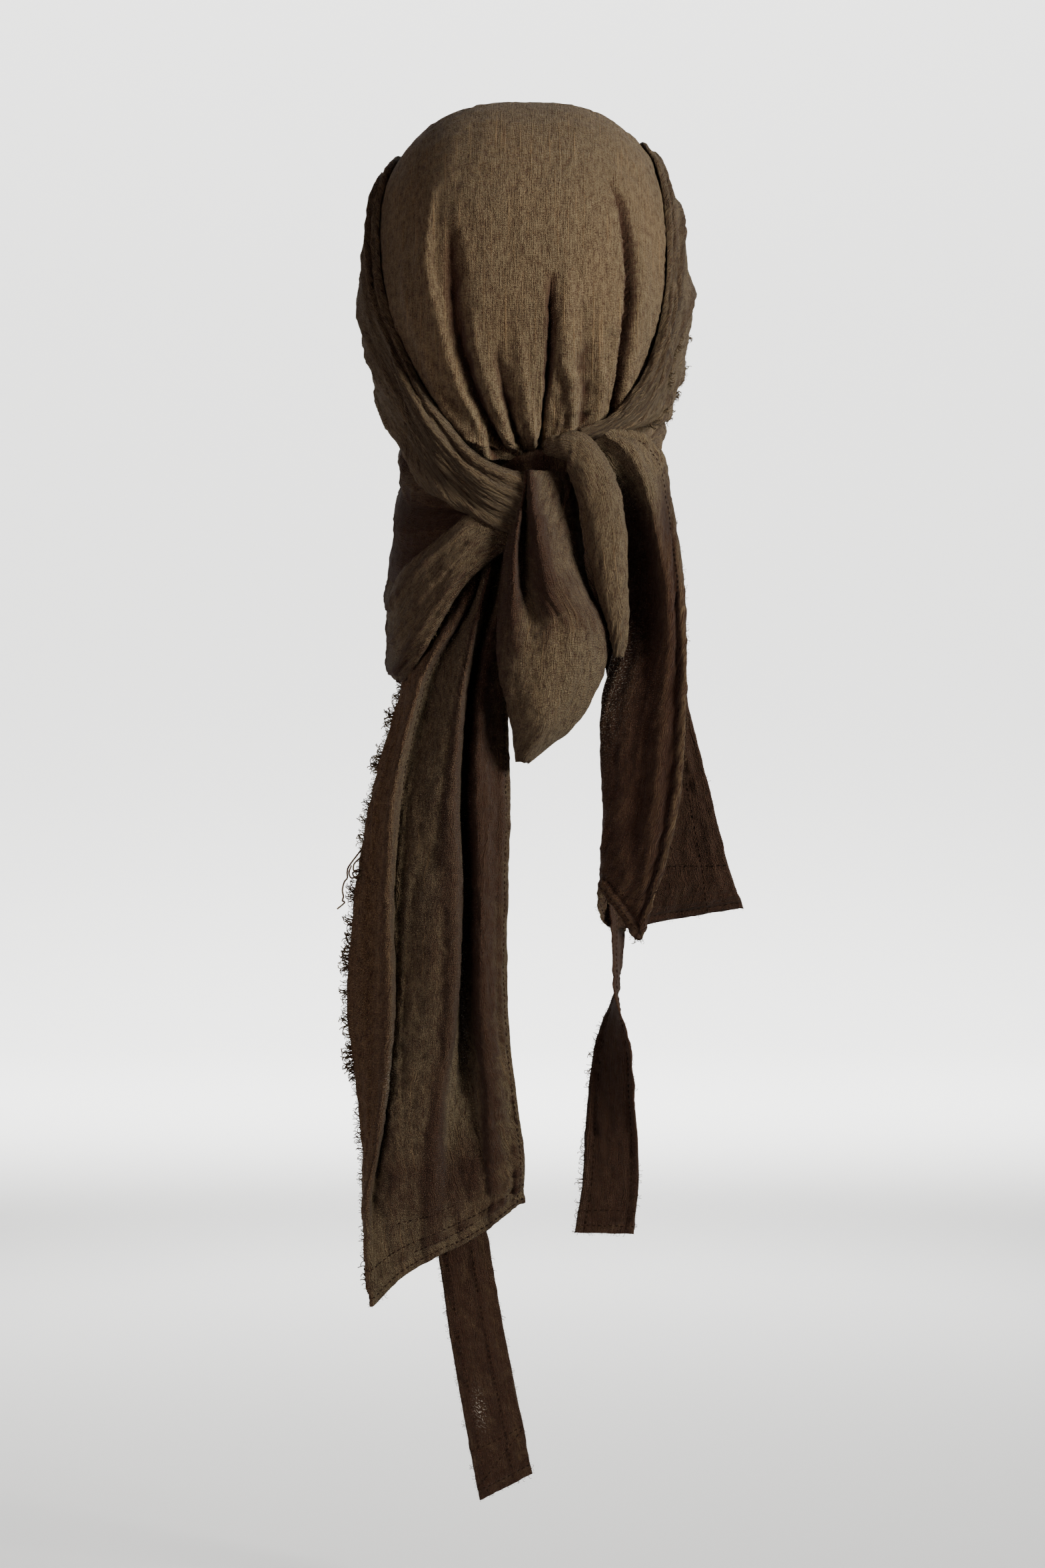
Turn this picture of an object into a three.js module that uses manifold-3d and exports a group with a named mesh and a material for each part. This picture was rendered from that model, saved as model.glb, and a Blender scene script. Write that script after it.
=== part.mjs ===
// A gauze head wrap as it is worn, tied at the nape, with two tails and two narrow ties.
// Millimetres, +Z up. The wearer faces -Y. The origin is the inside of the cap's top.

import * as THREE from 'three';
import { mergeVertices } from 'three/addons/utils/BufferGeometryUtils.js';
import Module from 'manifold-3d';

const wasm = await Module();
wasm.setup();

// Cloth
const WALL = 2.2;
const AIR = 0.35;
const CLOTH = { light: 0x5c4a34, mid: 0x51402d, dark: 0x3f3123 };

// The hollow that the cap is drawn over, an egg with flattened sides
const HOLLOW = {
  middle: new THREE.Vector3(0, 0, -110),
  halfWidth: 79,
  back: 105,
  front: 92,
  up: 110,
  down: 115,
  squareness: 2.6,
  squarenessDeep: 2.1,
  squarenessBelow: 1.1,
  lean: 0.03,
};

// Folds run out like a fan from the knot, about a hub inside the hollow.
// Turn is the angle round the line from the hub to the knot, 0 at the top and positive to -X.
// Reach is the angle from that line.
const HUB = new THREE.Vector3(0, 10, -150);
const KNOT = new THREE.Vector3(-5, 74, -188);

// The front edge of the cap lies in a plane that passes these heights
const BROW = { y: -88, z: -48 };
const TEMPLE = { y: -40, z: -145 };

const CAP = { turnLimit: 104, reachStart: 3, lift: 1.5, across: 42, along: 14 };

// A row for each pleat of the cap. Each stop is [reach, turn] in degrees.
// Height is how far it stands out (a groove is negative).
// The two run values are how wide it falls away on its -turn side and on its +turn side.
const CAP_PLEATS = [
  { name: 'left pleat', height: 5, runLow: 13, runHigh: 6,
    stops: [[10, -90], [15, -86], [28, -55], [44, -42], [57, -35], [71, -29], [82, -23]] },
  { name: 'right pleat', height: 4.5, runLow: 6, runHigh: 11,
    stops: [[12, 80], [23, 62], [33, 60], [41, 46], [54, 36], [64, 30], [73, 26], [82, 18]] },
  { name: 'middle groove', height: -3, runLow: 4, runHigh: 4,
    stops: [[9, 8], [13, 5], [23, 5], [35, 5], [47, 5], [56, 4]] },
  { name: 'middle pleat', height: 2.5, runLow: 4, runHigh: 5,
    stops: [[9, 40], [23, 24], [35, 14], [48, 10], [60, 8]] },
  { name: 'small pleat', height: 2.5, runLow: 5, runHigh: 4,
    stops: [[9, -50], [13, -26], [32, -17], [48, -15]] },
];

// The turn at which each side band begins to cover the cap, by reach
const BAND_EDGES = {
  left: [[25, -85], [40, -67], [59, -59], [81, -52], [95, -46], [120, -40]],
  right: [[25, 80], [34, 75], [50, 63], [58, 51], [67, 45], [78, 41], [87, 35], [120, 33]],
};

// The side bands, a row for each section from the temple to the knot
const BAND_LEFT = [
  { upper: [38, -76, -57], lower: [68, -44, -137] },
  { upper: [54, -46, -33], lower: [69, -28, -151] },
  { upper: [60, -18, -22], lower: [66, -6, -163] },
  { upper: [65, 12, -28], lower: [61, 13, -176] },
  { upper: [73, 40, -52], lower: [57, 34, -187] },
  { upper: [71, 65, -96], lower: [50, 56, -197] },
  { upper: [56, 77, -138], lower: [39, 74, -205] },
  { upper: [36, 82, -169], lower: [28, 83, -211] },
  { upper: [20, 90, -185], lower: [17, 89, -217] },
  { upper: [-1, 93, -193], lower: [6, 92, -222] },
];
const BAND_RIGHT = [
  { upper: [-36, -76, -57], lower: [-70, -44, -137] },
  { upper: [-50, -46, -28], lower: [-72, -26, -146] },
  { upper: [-56, -18, -18], lower: [-74, -6, -154] },
  { upper: [-60, 14, -19], lower: [-74, 12, -158] },
  { upper: [-68, 42, -40], lower: [-70, 34, -161] },
  { upper: [-71, 66, -88], lower: [-68, 58, -164] },
  { upper: [-63, 76, -132], lower: [-58, 75, -168] },
  { upper: [-46, 83, -160], lower: [-45, 85, -172] },
  { upper: [-27, 87, -170], lower: [-30, 89, -178] },
];
const BAND_LIFT = 4.8;
const FULL_PLEAT_WIDTH = 55;
const FLAP_BOW = 0;

// Pleats along a band: place across it from the upper edge (0) to the lower (1), height and width
const BAND_PLEATS = [
  { at: 0.05, height: 1.2, width: 0.06 },
  { at: 0.3, height: 2.6, width: 0.08 },
  { at: 0.55, height: 2, width: 0.09 },
  { at: 0.8, height: 2, width: 0.08 },
];

// The flap under the bands, a row for each section from the left temple round the nape to the right
const NAPE_FLAP = [
  { upper: [61, -26, -160], lower: [67, -20, -222] },
  { upper: [61, 8, -168], lower: [68, 10, -236] },
  { upper: [55, 36, -182], lower: [64, 35, -243] },
  { upper: [40, 55, -191], lower: [46, 57, -240] },
  { upper: [14, 66, -196], lower: [16, 67, -236] },
  { upper: [-14, 66, -195], lower: [-16, 67, -232] },
  { upper: [-42, 55, -185], lower: [-44, 58, -220] },
  { upper: [-60, 38, -172], lower: [-64, 42, -206] },
  { upper: [-69, 12, -160], lower: [-70, 12, -199] },
  { upper: [-69, -22, -150], lower: [-68, -20, -186] },
];

// The swag round the left of the neck, a row for each section from the knot forwards
const NECK_DRAPE = [
  { upper: [10, 85, -209], lower: [3, 85, -226] },
  { upper: [25, 85, -211], lower: [14, 90, -232] },
  { upper: [39, 81, -220], lower: [30, 90, -247] },
  { upper: [53, 72, -231], lower: [41, 87, -264] },
  { upper: [62, 57, -238], lower: [51, 84, -281] },
  { upper: [66, 38, -243], lower: [60, 72, -293] },
  { upper: [67, 14, -236], lower: [66, 34, -284] },
  { upper: [64, -12, -212], lower: [65, 2, -254] },
  { upper: [60, -32, -176], lower: [60, -24, -218] },
];

// The loop below the knot, a row for each level, a fold line in each column
const POUCH_LINES = [
  'leftBack', 'leftEdge', 'lobe', 'valley', 'ridge', 'dip', 'shoulder', 'rightEdge', 'rightBack',
];
const POUCH = [
  { z: -190, leftBack: [1, 84], leftEdge: [0, 90], lobe: [-1, 94], valley: [-1.5, 93], ridge: [-2.5, 96],
    dip: [-8, 92], shoulder: [-15, 88], rightEdge: [-21, 84], rightBack: [-22, 80] },
  { z: -204, leftBack: [4, 82], leftEdge: [2.5, 90], lobe: [1, 97], valley: [-0.4, 92], ridge: [-3.4, 102],
    dip: [-10, 96], shoulder: [-17, 92], rightEdge: [-23, 87], rightBack: [-25, 80] },
  { z: -220, leftBack: [7, 82], leftEdge: [7, 90], lobe: [4, 103], valley: [0, 93], ridge: [-5.4, 108],
    dip: [-12.5, 102], shoulder: [-19, 97], rightEdge: [-25, 90], rightBack: [-27, 81] },
  { z: -235, leftBack: [9, 82], leftEdge: [10, 91], lobe: [5.5, 106], valley: [0.6, 96], ridge: [-7.5, 111],
    dip: [-15, 107], shoulder: [-20.5, 102], rightEdge: [-26, 93], rightBack: [-28, 82] },
  { z: -250, leftBack: [10, 82], leftEdge: [11.5, 92], lobe: [6, 108], valley: [-1, 101], ridge: [-10, 113],
    dip: [-18, 112], shoulder: [-25, 107], rightEdge: [-31, 97], rightBack: [-32, 84] },
  { z: -261, leftBack: [10, 83], leftEdge: [13, 93], lobe: [7, 107], valley: [-3, 106], ridge: [-12, 113],
    dip: [-21, 113], shoulder: [-29, 108], rightEdge: [-37, 98], rightBack: [-37, 85] },
  { z: -273, leftBack: [10, 84], leftEdge: [13, 94], lobe: [7, 107], valley: [-3, 110], ridge: [-12, 114],
    dip: [-21, 113], shoulder: [-30, 108], rightEdge: [-39, 98], rightBack: [-38, 86] },
  { z: -287, leftBack: [9, 85], leftEdge: [12, 94], lobe: [6, 106], valley: [-3, 112], ridge: [-12, 114],
    dip: [-20, 113], shoulder: [-29, 107], rightEdge: [-37, 98], rightBack: [-36, 87] },
  { z: -301, leftBack: [6, 87], leftEdge: [9, 94], lobe: [4, 104], valley: [-3, 110], ridge: [-10, 112],
    dip: [-17, 110], shoulder: [-24, 105], rightEdge: [-31, 98], rightBack: [-30, 89] },
  { z: -314, leftBack: [4, 89], leftEdge: [6, 94], lobe: [2, 101], valley: [-3, 106], ridge: [-8, 108],
    dip: [-12, 106], shoulder: [-17, 102], rightEdge: [-22, 97], rightBack: [-21, 91] },
  { z: -330, leftBack: [4, 92], leftEdge: [4, 94], lobe: [3, 97], valley: [2, 99], ridge: [1, 100],
    dip: [0, 99], shoulder: [-1, 97], rightEdge: [-2, 95], rightBack: [-2, 93] },
];

// The rolled fold, a row for each section along its run
const ROLL = [
  { centre: [-9, 88, -178], half: 3.5 },
  { centre: [-15, 95, -178], half: 6.5 },
  { centre: [-24, 101, -180], half: 9 },
  { centre: [-31, 104, -190], half: 9.8 },
  { centre: [-35.5, 106, -202], half: 10 },
  { centre: [-38.4, 108, -221], half: 9.8 },
  { centre: [-41.4, 107, -245], half: 7.4 },
  { centre: [-44.3, 104, -265], half: 5 },
  { centre: [-44.7, 99, -280], half: 2 },
];
const ROLL_WRAP = 2.2;

// The tails, a row for each level. Each fold line has [x, y], and a third value where it
// leaves the level of its row.
const TAIL_LEFT_LINES = ['rawEdge', 'ridge', 'grooveOne', 'ridgeTwo', 'grooveTwo', 'ridgeThree', 'hemEdge'];
const TAIL_LEFT = [
  { z: -210, rawEdge: [30, 68], ridge: [20, 76], grooveOne: [16, 73], ridgeTwo: [12, 79],
    grooveTwo: [8, 75], ridgeThree: [4, 80], hemEdge: [-1, 76] },
  { z: -250, rawEdge: [48, 66], ridge: [27, 84], grooveOne: [24, 79], ridgeTwo: [20, 86],
    grooveTwo: [16, 77], ridgeThree: [10, 84], hemEdge: [3, 80] },
  { z: -280, rawEdge: [58, 64], ridge: [45, 88], grooveOne: [38, 80], ridgeTwo: [27, 92],
    grooveTwo: [22, 76], ridgeThree: [14, 86], hemEdge: [6, 81] },
  { z: -305, rawEdge: [63, 74], ridge: [54, 92], grooveOne: [45, 84], ridgeTwo: [31, 97],
    grooveTwo: [28, 77], ridgeThree: [16, 90], hemEdge: [8, 83] },
  { z: -345, rawEdge: [74, 78], ridge: [63, 94], grooveOne: [53, 86], ridgeTwo: [34, 98],
    grooveTwo: [29, 79], ridgeThree: [12, 95], hemEdge: [7, 90] },
  { z: -395, rawEdge: [82, 78], ridge: [66, 95], grooveOne: [59, 87], ridgeTwo: [33, 99],
    grooveTwo: [29, 79], ridgeThree: [12, 96], hemEdge: [8, 91] },
  { z: -450, rawEdge: [86, 78], ridge: [65, 96], grooveOne: [60, 88], ridgeTwo: [35, 99],
    grooveTwo: [30, 82], ridgeThree: [14, 97], hemEdge: [8, 92] },
  { z: -500, rawEdge: [80, 82], ridge: [69, 97], grooveOne: [62, 92], ridgeTwo: [42, 98],
    grooveTwo: [27, 92], ridgeThree: [14, 96], hemEdge: [3, 94, -498] },
  { z: -544, rawEdge: [78, 86], ridge: [76, 96, -546], grooveOne: [64, 96, -540], ridgeTwo: [44, 98, -534],
    grooveTwo: [28, 95, -530], ridgeThree: [14, 97, -526], hemEdge: [0, 95, -520] },
  { z: -541, rawEdge: [75, 89, -587], ridge: [73, 97, -591], grooveOne: [60, 97, -578],
    ridgeTwo: [44, 98, -568], grooveTwo: [29, 97, -561], ridgeThree: [15, 97, -552], hemEdge: [1, 95] },
];
const TAIL_RIGHT_LINES = ['freeEdge', 'ridge', 'groove', 'fold', 'backInner', 'backMiddle', 'backEdge'];
const TAIL_RIGHT = [
  { z: -176, freeEdge: [-40, 95, -171], ridge: [-38, 97, -173], groove: [-36, 95, -174], fold: [-33, 93],
    backInner: [-34, 88, -178], backMiddle: [-38, 84], backEdge: [-42, 84, -174] },
  { z: -188, freeEdge: [-56, 88, -172], ridge: [-50, 98, -181], groove: [-45, 93, -186], fold: [-40, 90],
    backInner: [-42, 82], backMiddle: [-50, 78, -186], backEdge: [-57, 76, -180] },
  { z: -200, freeEdge: [-66, 79, -182], ridge: [-58, 95, -196], groove: [-52, 86], fold: [-45, 83],
    backInner: [-47, 75], backMiddle: [-56, 70, -198], backEdge: [-65, 66, -190] },
  { z: -220, freeEdge: [-70, 80, -202], ridge: [-63, 94, -218], groove: [-56, 84], fold: [-47, 76],
    backInner: [-49, 70], backMiddle: [-59, 65, -218], backEdge: [-68, 62, -210] },
  { z: -240, freeEdge: [-75, 92, -236], ridge: [-67, 95], groove: [-58, 84], fold: [-47, 75],
    backInner: [-50, 66], backMiddle: [-61, 62, -238], backEdge: [-71, 62, -234] },
  { z: -268, freeEdge: [-77, 97, -266], ridge: [-69, 95], groove: [-59, 84], fold: [-45, 75],
    backInner: [-50, 64], backMiddle: [-62, 61], backEdge: [-75, 63, -266] },
  { z: -304, freeEdge: [-77, 99], ridge: [-66, 95], groove: [-52, 86], fold: [-37, 76],
    backInner: [-44, 62], backMiddle: [-62, 60], backEdge: [-80, 64] },
  { z: -348, freeEdge: [-74, 99], ridge: [-62, 95], groove: [-50, 87], fold: [-38, 76],
    backInner: [-46, 60], backMiddle: [-68, 60], backEdge: [-91, 66] },
  { z: -380, freeEdge: [-67, 97], ridge: [-59, 94], groove: [-48, 88], fold: [-37, 76],
    backInner: [-44, 58], backMiddle: [-72, 60], backEdge: [-99, 67] },
  { z: -415, freeEdge: [-56, 94, -413], ridge: [-53, 93], groove: [-46, 88, -404], fold: [-36, 77, -392],
    backInner: [-42, 58, -411], backMiddle: [-72, 60, -407], backEdge: [-106, 68, -401] },
];

// The narrow ties, a row for each level: centre, how far the cloth is turned (degrees) and its width.
// Drop is how much lower the +X edge is than the centre.
const TIE_LEFT = [
  { z: -208, x: 5, y: 70, turn: 0, width: 13, drop: 0 },
  { z: -240, x: 14, y: 71, turn: 0, width: 17, drop: 0 },
  { z: -300, x: 30, y: 65, turn: 0, width: 22, drop: 2 },
  { z: -380, x: 42, y: 65, turn: 0, width: 25, drop: 0 },
  { z: -460, x: 45, y: 67, turn: 0, width: 25, drop: -2 },
  { z: -530, x: 37, y: 70, turn: 5, width: 25, drop: 2 },
  { z: -567, x: 30, y: 72, turn: 0, width: 24, drop: 5 },
  { z: -605, x: 24, y: 73, turn: 0, width: 25, drop: 5 },
  { z: -645, x: 16.5, y: 73, turn: 3, width: 25.5, drop: 6 },
  { z: -682.5, x: 9.5, y: 73, turn: 0, width: 25.5, drop: 6.5 },
];
const TIE_RIGHT = [
  { z: -208, x: -20, y: 70, turn: 0, width: 13, drop: 0 },
  { z: -240, x: -38, y: 64, turn: 5, width: 20, drop: 0 },
  { z: -280, x: -52, y: 52, turn: 10, width: 26, drop: 0 },
  { z: -330, x: -54, y: 48, turn: 20, width: 28, drop: 0 },
  { z: -380, x: -50, y: 48, turn: 50, width: 28, drop: 0 },
  { z: -415, x: -46, y: 51, turn: 78, width: 28, drop: 0 },
  { z: -443, x: -45, y: 53, turn: 88, width: 28, drop: 0 },
  { z: -468, x: -43.5, y: 54, turn: 125, width: 28, drop: 0 },
  { z: -501, x: -42.5, y: 55, turn: 147, width: 28, drop: 0 },
  { z: -535, x: -42, y: 56, turn: 168, width: 28, drop: 0 },
  { z: -561, x: -38.5, y: 56, turn: 172, width: 29, drop: 0 },
];

// The bunched cloth inside the knot
const BUNCH = {
  centre: new THREE.Vector3(-12, 76, -211), halfWidth: 26, halfDepth: 12, halfHeight: 26, folds: 5,
};

const { clamp, degToRad, lerp } = THREE.MathUtils;

// Smooth curve through evenly spaced values, t from 0 to the last index
function through(values, t) {
  const last = values.length - 1;
  const at = clamp(t, 0, last);
  const i = Math.min(Math.floor(at), last - 1);
  const f = at - i;
  const b = values[i];
  const c = values[i + 1];
  const a = i > 0 ? values[i - 1] : 2 * b - c;
  const d = i + 2 <= last ? values[i + 2] : 2 * c - b;
  const cubic = 3 * b - a - 3 * c + d;
  const square = 2 * a - 5 * b + 4 * c - d;
  return b + 0.5 * ((c - a) * f + square * f * f + cubic * f * f * f);
}

function column(rows, name, t) {
  return through(rows.map((row) => row[name]), t * (rows.length - 1));
}

function columnPoint(rows, name, t) {
  const place = [0, 1, 2].map((axis) => through(rows.map((row) => row[name][axis]), t * (rows.length - 1)));
  return new THREE.Vector3(...place);
}

// Straight runs between [key, value] stops
function between(stops, key) {
  const next = stops.findIndex((stop) => stop[0] >= key);
  if (next === 0) return stops[0][1];
  if (next < 0) return stops[stops.length - 1][1];
  const [fromKey, fromValue] = stops[next - 1];
  const [toKey, toValue] = stops[next];
  return lerp(fromValue, toValue, (key - fromKey) / (toKey - fromKey));
}

// Below 0 inside the hollow, above 0 outside it
function outsideHollow(point) {
  const below = point.z < HOLLOW.middle.z;
  const z = Math.abs(point.z - HOLLOW.middle.z);
  const x = point.x - HOLLOW.middle.x + (below ? HOLLOW.lean * z : 0);
  const y = point.y - HOLLOW.middle.y;
  const across = (Math.abs(x) / HOLLOW.halfWidth) ** HOLLOW.squareness;
  const deep = (Math.abs(y) / (y > 0 ? HOLLOW.back : HOLLOW.front)) ** HOLLOW.squarenessDeep;
  const tall = below ? (z / HOLLOW.down) ** HOLLOW.squarenessBelow : (z / HOLLOW.up) ** HOLLOW.squareness;
  return across + deep + tall - 1;
}

// Distance from the hub to the hollow's wall
function wallDistance(direction) {
  let near = 0;
  let far = 260;
  for (let step = 0; step < 30; step += 1) {
    const middle = (near + far) / 2;
    const inside = outsideHollow(HUB.clone().addScaledVector(direction, middle)) < 0;
    if (inside) near = middle;
    else far = middle;
  }
  return near;
}

const FAN_AXIS = KNOT.clone().sub(HUB).normalize();
const FAN_UP = new THREE.Vector3(0, 0, 1).addScaledVector(FAN_AXIS, -FAN_AXIS.z).normalize();
const FAN_SIDE = FAN_UP.clone().cross(FAN_AXIS);

function fanDirection(turn, reach) {
  const around = FAN_UP.clone().multiplyScalar(Math.cos(degToRad(turn)));
  around.addScaledVector(FAN_SIDE, Math.sin(degToRad(turn)));
  const out = FAN_AXIS.clone().multiplyScalar(Math.cos(degToRad(reach)));
  return out.addScaledVector(around, Math.sin(degToRad(reach)));
}

function fanPoint(turn, reach, lift) {
  const direction = fanDirection(turn, reach);
  return HUB.clone().addScaledVector(direction, wallDistance(direction) + lift);
}

// A point moved out from the hub until it lies on or above the hollow
function laidOver(point, lift) {
  const direction = point.clone().sub(HUB);
  const distance = direction.length();
  direction.normalize();
  return HUB.clone().addScaledVector(direction, Math.max(distance, wallDistance(direction) + lift));
}

// Above 0 behind the plane of the cap's front edge
function behindBrow(point) {
  const slope = (TEMPLE.y - BROW.y) / (TEMPLE.z - BROW.z);
  return point.y - (BROW.y + slope * (point.z - BROW.z));
}

function reachOfFrontEdge(turn) {
  let near = 90;
  let far = 178;
  for (let step = 0; step < 24; step += 1) {
    const middle = (near + far) / 2;
    if (behindBrow(fanPoint(turn, middle, 0)) > 0) near = middle;
    else far = middle;
  }
  return near;
}

function bump(distance, runLow, runHigh) {
  const run = distance < 0 ? runLow : runHigh;
  return Math.exp(-((distance / run) ** 2));
}

function pleatLift(turn, reach) {
  const mmPerDegree = degToRad(Math.sin(degToRad(reach)) * 90);
  let lift = 0;
  for (const pleat of CAP_PLEATS) {
    const first = pleat.stops[0][0];
    const last = pleat.stops[pleat.stops.length - 1][0];
    const fade = clamp((last + 6 - reach) / 22, 0, 1) * clamp((reach - first + 8) / 16, 0, 1);
    const distance = (turn - between(pleat.stops, reach)) * mmPerDegree;
    lift += pleat.height * fade * bump(distance, pleat.runLow, pleat.runHigh);
  }
  const uncovered = Math.min(turn - between(BAND_EDGES.left, reach), between(BAND_EDGES.right, reach) - turn);
  return lift * clamp(uncovered / 7, 0, 1);
}

// Surfaces, each a function of two values from 0 to 1

function capSurface(u, v) {
  const turn = lerp(-CAP.turnLimit, CAP.turnLimit, u);
  const reach = lerp(CAP.reachStart, reachOfFrontEdge(turn), v);
  return fanPoint(turn, reach, CAP.lift + pleatLift(turn, reach));
}

// A strip between an upper and a lower edge. Bow is how far its middle stands out from the hub.
function stripSurface(rows, bow) {
  return (u, v) => {
    const point = columnPoint(rows, 'upper', v).lerp(columnPoint(rows, 'lower', v), u);
    const out = point.clone().sub(HUB).normalize();
    return point.addScaledVector(out, 4 * u * (1 - u) * bow);
  };
}

// A strip that lies over the cap and has pleats along it, lower where it is narrow
function bandSurface(rows) {
  const strip = stripSurface(rows, 0);
  return (u, v) => {
    const width = columnPoint(rows, 'upper', v).distanceTo(columnPoint(rows, 'lower', v));
    const laid = laidOver(strip(u, v), BAND_LIFT);
    const out = laid.clone().sub(HUB).normalize();
    for (const pleat of BAND_PLEATS) {
      const height = pleat.height * clamp(width / FULL_PLEAT_WIDTH, 0, 1) ** 2;
      laid.addScaledVector(out, height * Math.exp(-(((u - pleat.at) / pleat.width) ** 2)));
    }
    return laid;
  };
}

// A level of the pouch goes round its front, from one turned-back edge to the other
function rollSurface(u, v) {
  const centre = columnPoint(ROLL, 'centre', v);
  const ahead = columnPoint(ROLL, 'centre', Math.min(v + 0.01, 1));
  const behind = columnPoint(ROLL, 'centre', Math.max(v - 0.01, 0));
  const run = ahead.sub(behind).normalize();
  const out = new THREE.Vector3(0, 1, 0).addScaledVector(run, -run.y).normalize();
  const side = run.clone().cross(out);
  const half = column(ROLL, 'half', v);
  const angle = lerp(-ROLL_WRAP, ROLL_WRAP, u);
  return centre
    .addScaledVector(side, half * Math.sin(angle))
    .addScaledVector(out, half * (Math.cos(angle) - 1));
}

function foldedSurface(rows, lines) {
  const grid = lines.map((line) => rows.map((row) => [row[line][0], row[line][1], row[line][2] ?? row.z]));
  return (u, v) => {
    const place = [0, 1, 2].map((axis) => {
      const onLines = grid.map((line) => through(line.map((stop) => stop[axis]), v * (rows.length - 1)));
      return through(onLines, u * (lines.length - 1));
    });
    return new THREE.Vector3(...place);
  };
}

function tieSurface(rows) {
  return (u, v) => {
    const turn = degToRad(column(rows, 'turn', v));
    const offset = (0.5 - u) * column(rows, 'width', v);
    return new THREE.Vector3(
      column(rows, 'x', v) + offset * Math.cos(turn),
      column(rows, 'y', v) + offset * Math.sin(turn),
      column(rows, 'z', v) - (column(rows, 'drop', v) * offset * 2) / column(rows, 'width', v),
    );
  };
}

// A closed wall on both sides of a surface. Grow adds air all round.
function sheetGeometry(piece, grow) {
  const { surface, across, along } = piece;
  const rowLength = across + 1;
  const middle = [];
  for (let j = 0; j <= along; j += 1) {
    for (let i = 0; i <= across; i += 1) {
      middle.push(surface(i / across, j / along));
    }
  }
  const at = (i, j) => middle[clamp(j, 0, along) * rowLength + clamp(i, 0, across)];
  const half = WALL / 2 + grow;
  const front = [];
  const back = [];
  for (let j = 0; j <= along; j += 1) {
    for (let i = 0; i <= across; i += 1) {
      const acrossRun = at(i + 1, j).clone().sub(at(i - 1, j)).normalize();
      const alongRun = at(i, j + 1).clone().sub(at(i, j - 1)).normalize();
      const normal = acrossRun.clone().cross(alongRun).normalize();
      const point = at(i, j).clone();
      if (i === 0) point.addScaledVector(acrossRun, -grow);
      if (i === across) point.addScaledVector(acrossRun, grow);
      if (j === 0) point.addScaledVector(alongRun, -grow);
      if (j === along) point.addScaledVector(alongRun, grow);
      front.push(point.clone().addScaledVector(normal, half));
      back.push(point.clone().addScaledVector(normal, -half));
    }
  }
  const faces = [];
  const quad = (a, b, c, d) => faces.push(a, b, c, a, c, d);
  const shift = front.length;
  for (let j = 0; j < along; j += 1) {
    for (let i = 0; i < across; i += 1) {
      const a = j * rowLength + i;
      const b = a + rowLength;
      quad(a, a + 1, b + 1, b);
      quad(shift + a, shift + b, shift + b + 1, shift + a + 1);
    }
  }
  for (let i = 0; i < across; i += 1) {
    const far = along * rowLength + i;
    quad(i, shift + i, shift + i + 1, i + 1);
    quad(far, far + 1, shift + far + 1, shift + far);
  }
  for (let j = 0; j < along; j += 1) {
    const near = j * rowLength;
    const far = near + across;
    quad(near, near + rowLength, shift + near + rowLength, shift + near);
    quad(far, shift + far, shift + far + rowLength, far + rowLength);
  }
  return facingOut([...front, ...back], faces);
}

function facingOut(points, faces) {
  let volume = 0;
  for (let k = 0; k < faces.length; k += 3) {
    const [a, b, c] = [points[faces[k]], points[faces[k + 1]], points[faces[k + 2]]];
    volume += a.dot(b.clone().cross(c));
  }
  const geometry = new THREE.BufferGeometry().setFromPoints(points);
  geometry.setIndex(volume > 0 ? faces : [...faces].reverse());
  return geometry;
}

// The bunch is a flattened ball with folds round the knot's axis
function bunchGeometry() {
  const ball = new THREE.SphereGeometry(1, 12, 8);
  ball.deleteAttribute('normal');
  ball.deleteAttribute('uv');
  const geometry = mergeVertices(ball);
  const place = geometry.getAttribute('position');
  for (let k = 0; k < place.count; k += 1) {
    const point = new THREE.Vector3().fromBufferAttribute(place, k);
    const round = Math.atan2(point.z, point.x);
    const ripple = 1 + 0.08 * Math.cos(BUNCH.folds * round) * Math.hypot(point.x, point.z);
    place.setXYZ(
      k,
      BUNCH.centre.x + point.x * BUNCH.halfWidth * ripple,
      BUNCH.centre.y + point.y * BUNCH.halfDepth,
      BUNCH.centre.z + point.z * BUNCH.halfHeight * ripple,
    );
  }
  return geometry;
}

// Pieces from the outermost layer to the innermost: each one gives way to those before it
const PIECES = [
  { name: 'knot_roll', shade: CLOTH.light, across: 10, along: 16, surface: rollSurface },
  { name: 'pouch', shade: CLOTH.light, across: 15, along: 13,
    surface: foldedSurface(POUCH, POUCH_LINES) },
  { name: 'side_band_left', shade: CLOTH.mid, across: 12, along: 13, surface: bandSurface(BAND_LEFT) },
  { name: 'side_band_right', shade: CLOTH.mid, across: 12, along: 12, surface: bandSurface(BAND_RIGHT) },
  { name: 'crown', shade: CLOTH.light, across: CAP.across, along: CAP.along, surface: capSurface },
  { name: 'tail_right', shade: CLOTH.mid, across: 18, along: 11,
    surface: foldedSurface(TAIL_RIGHT, TAIL_RIGHT_LINES) },
  { name: 'neck_drape_left', shade: CLOTH.mid, across: 6, along: 16, surface: stripSurface(NECK_DRAPE, 0) },
  { name: 'tail_left', shade: CLOTH.light, across: 18, along: 14,
    surface: foldedSurface(TAIL_LEFT, TAIL_LEFT_LINES) },
  { name: 'tie_left', shade: CLOTH.dark, across: 3, along: 20, surface: tieSurface(TIE_LEFT) },
  { name: 'tie_right', shade: CLOTH.dark, across: 3, along: 19, surface: tieSurface(TIE_RIGHT) },
  { name: 'nape_flap', shade: CLOTH.dark, across: 3, along: 14, surface: stripSurface(NAPE_FLAP, FLAP_BOW) },
  { name: 'knot', shade: CLOTH.dark, geometry: bunchGeometry() },
];

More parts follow.
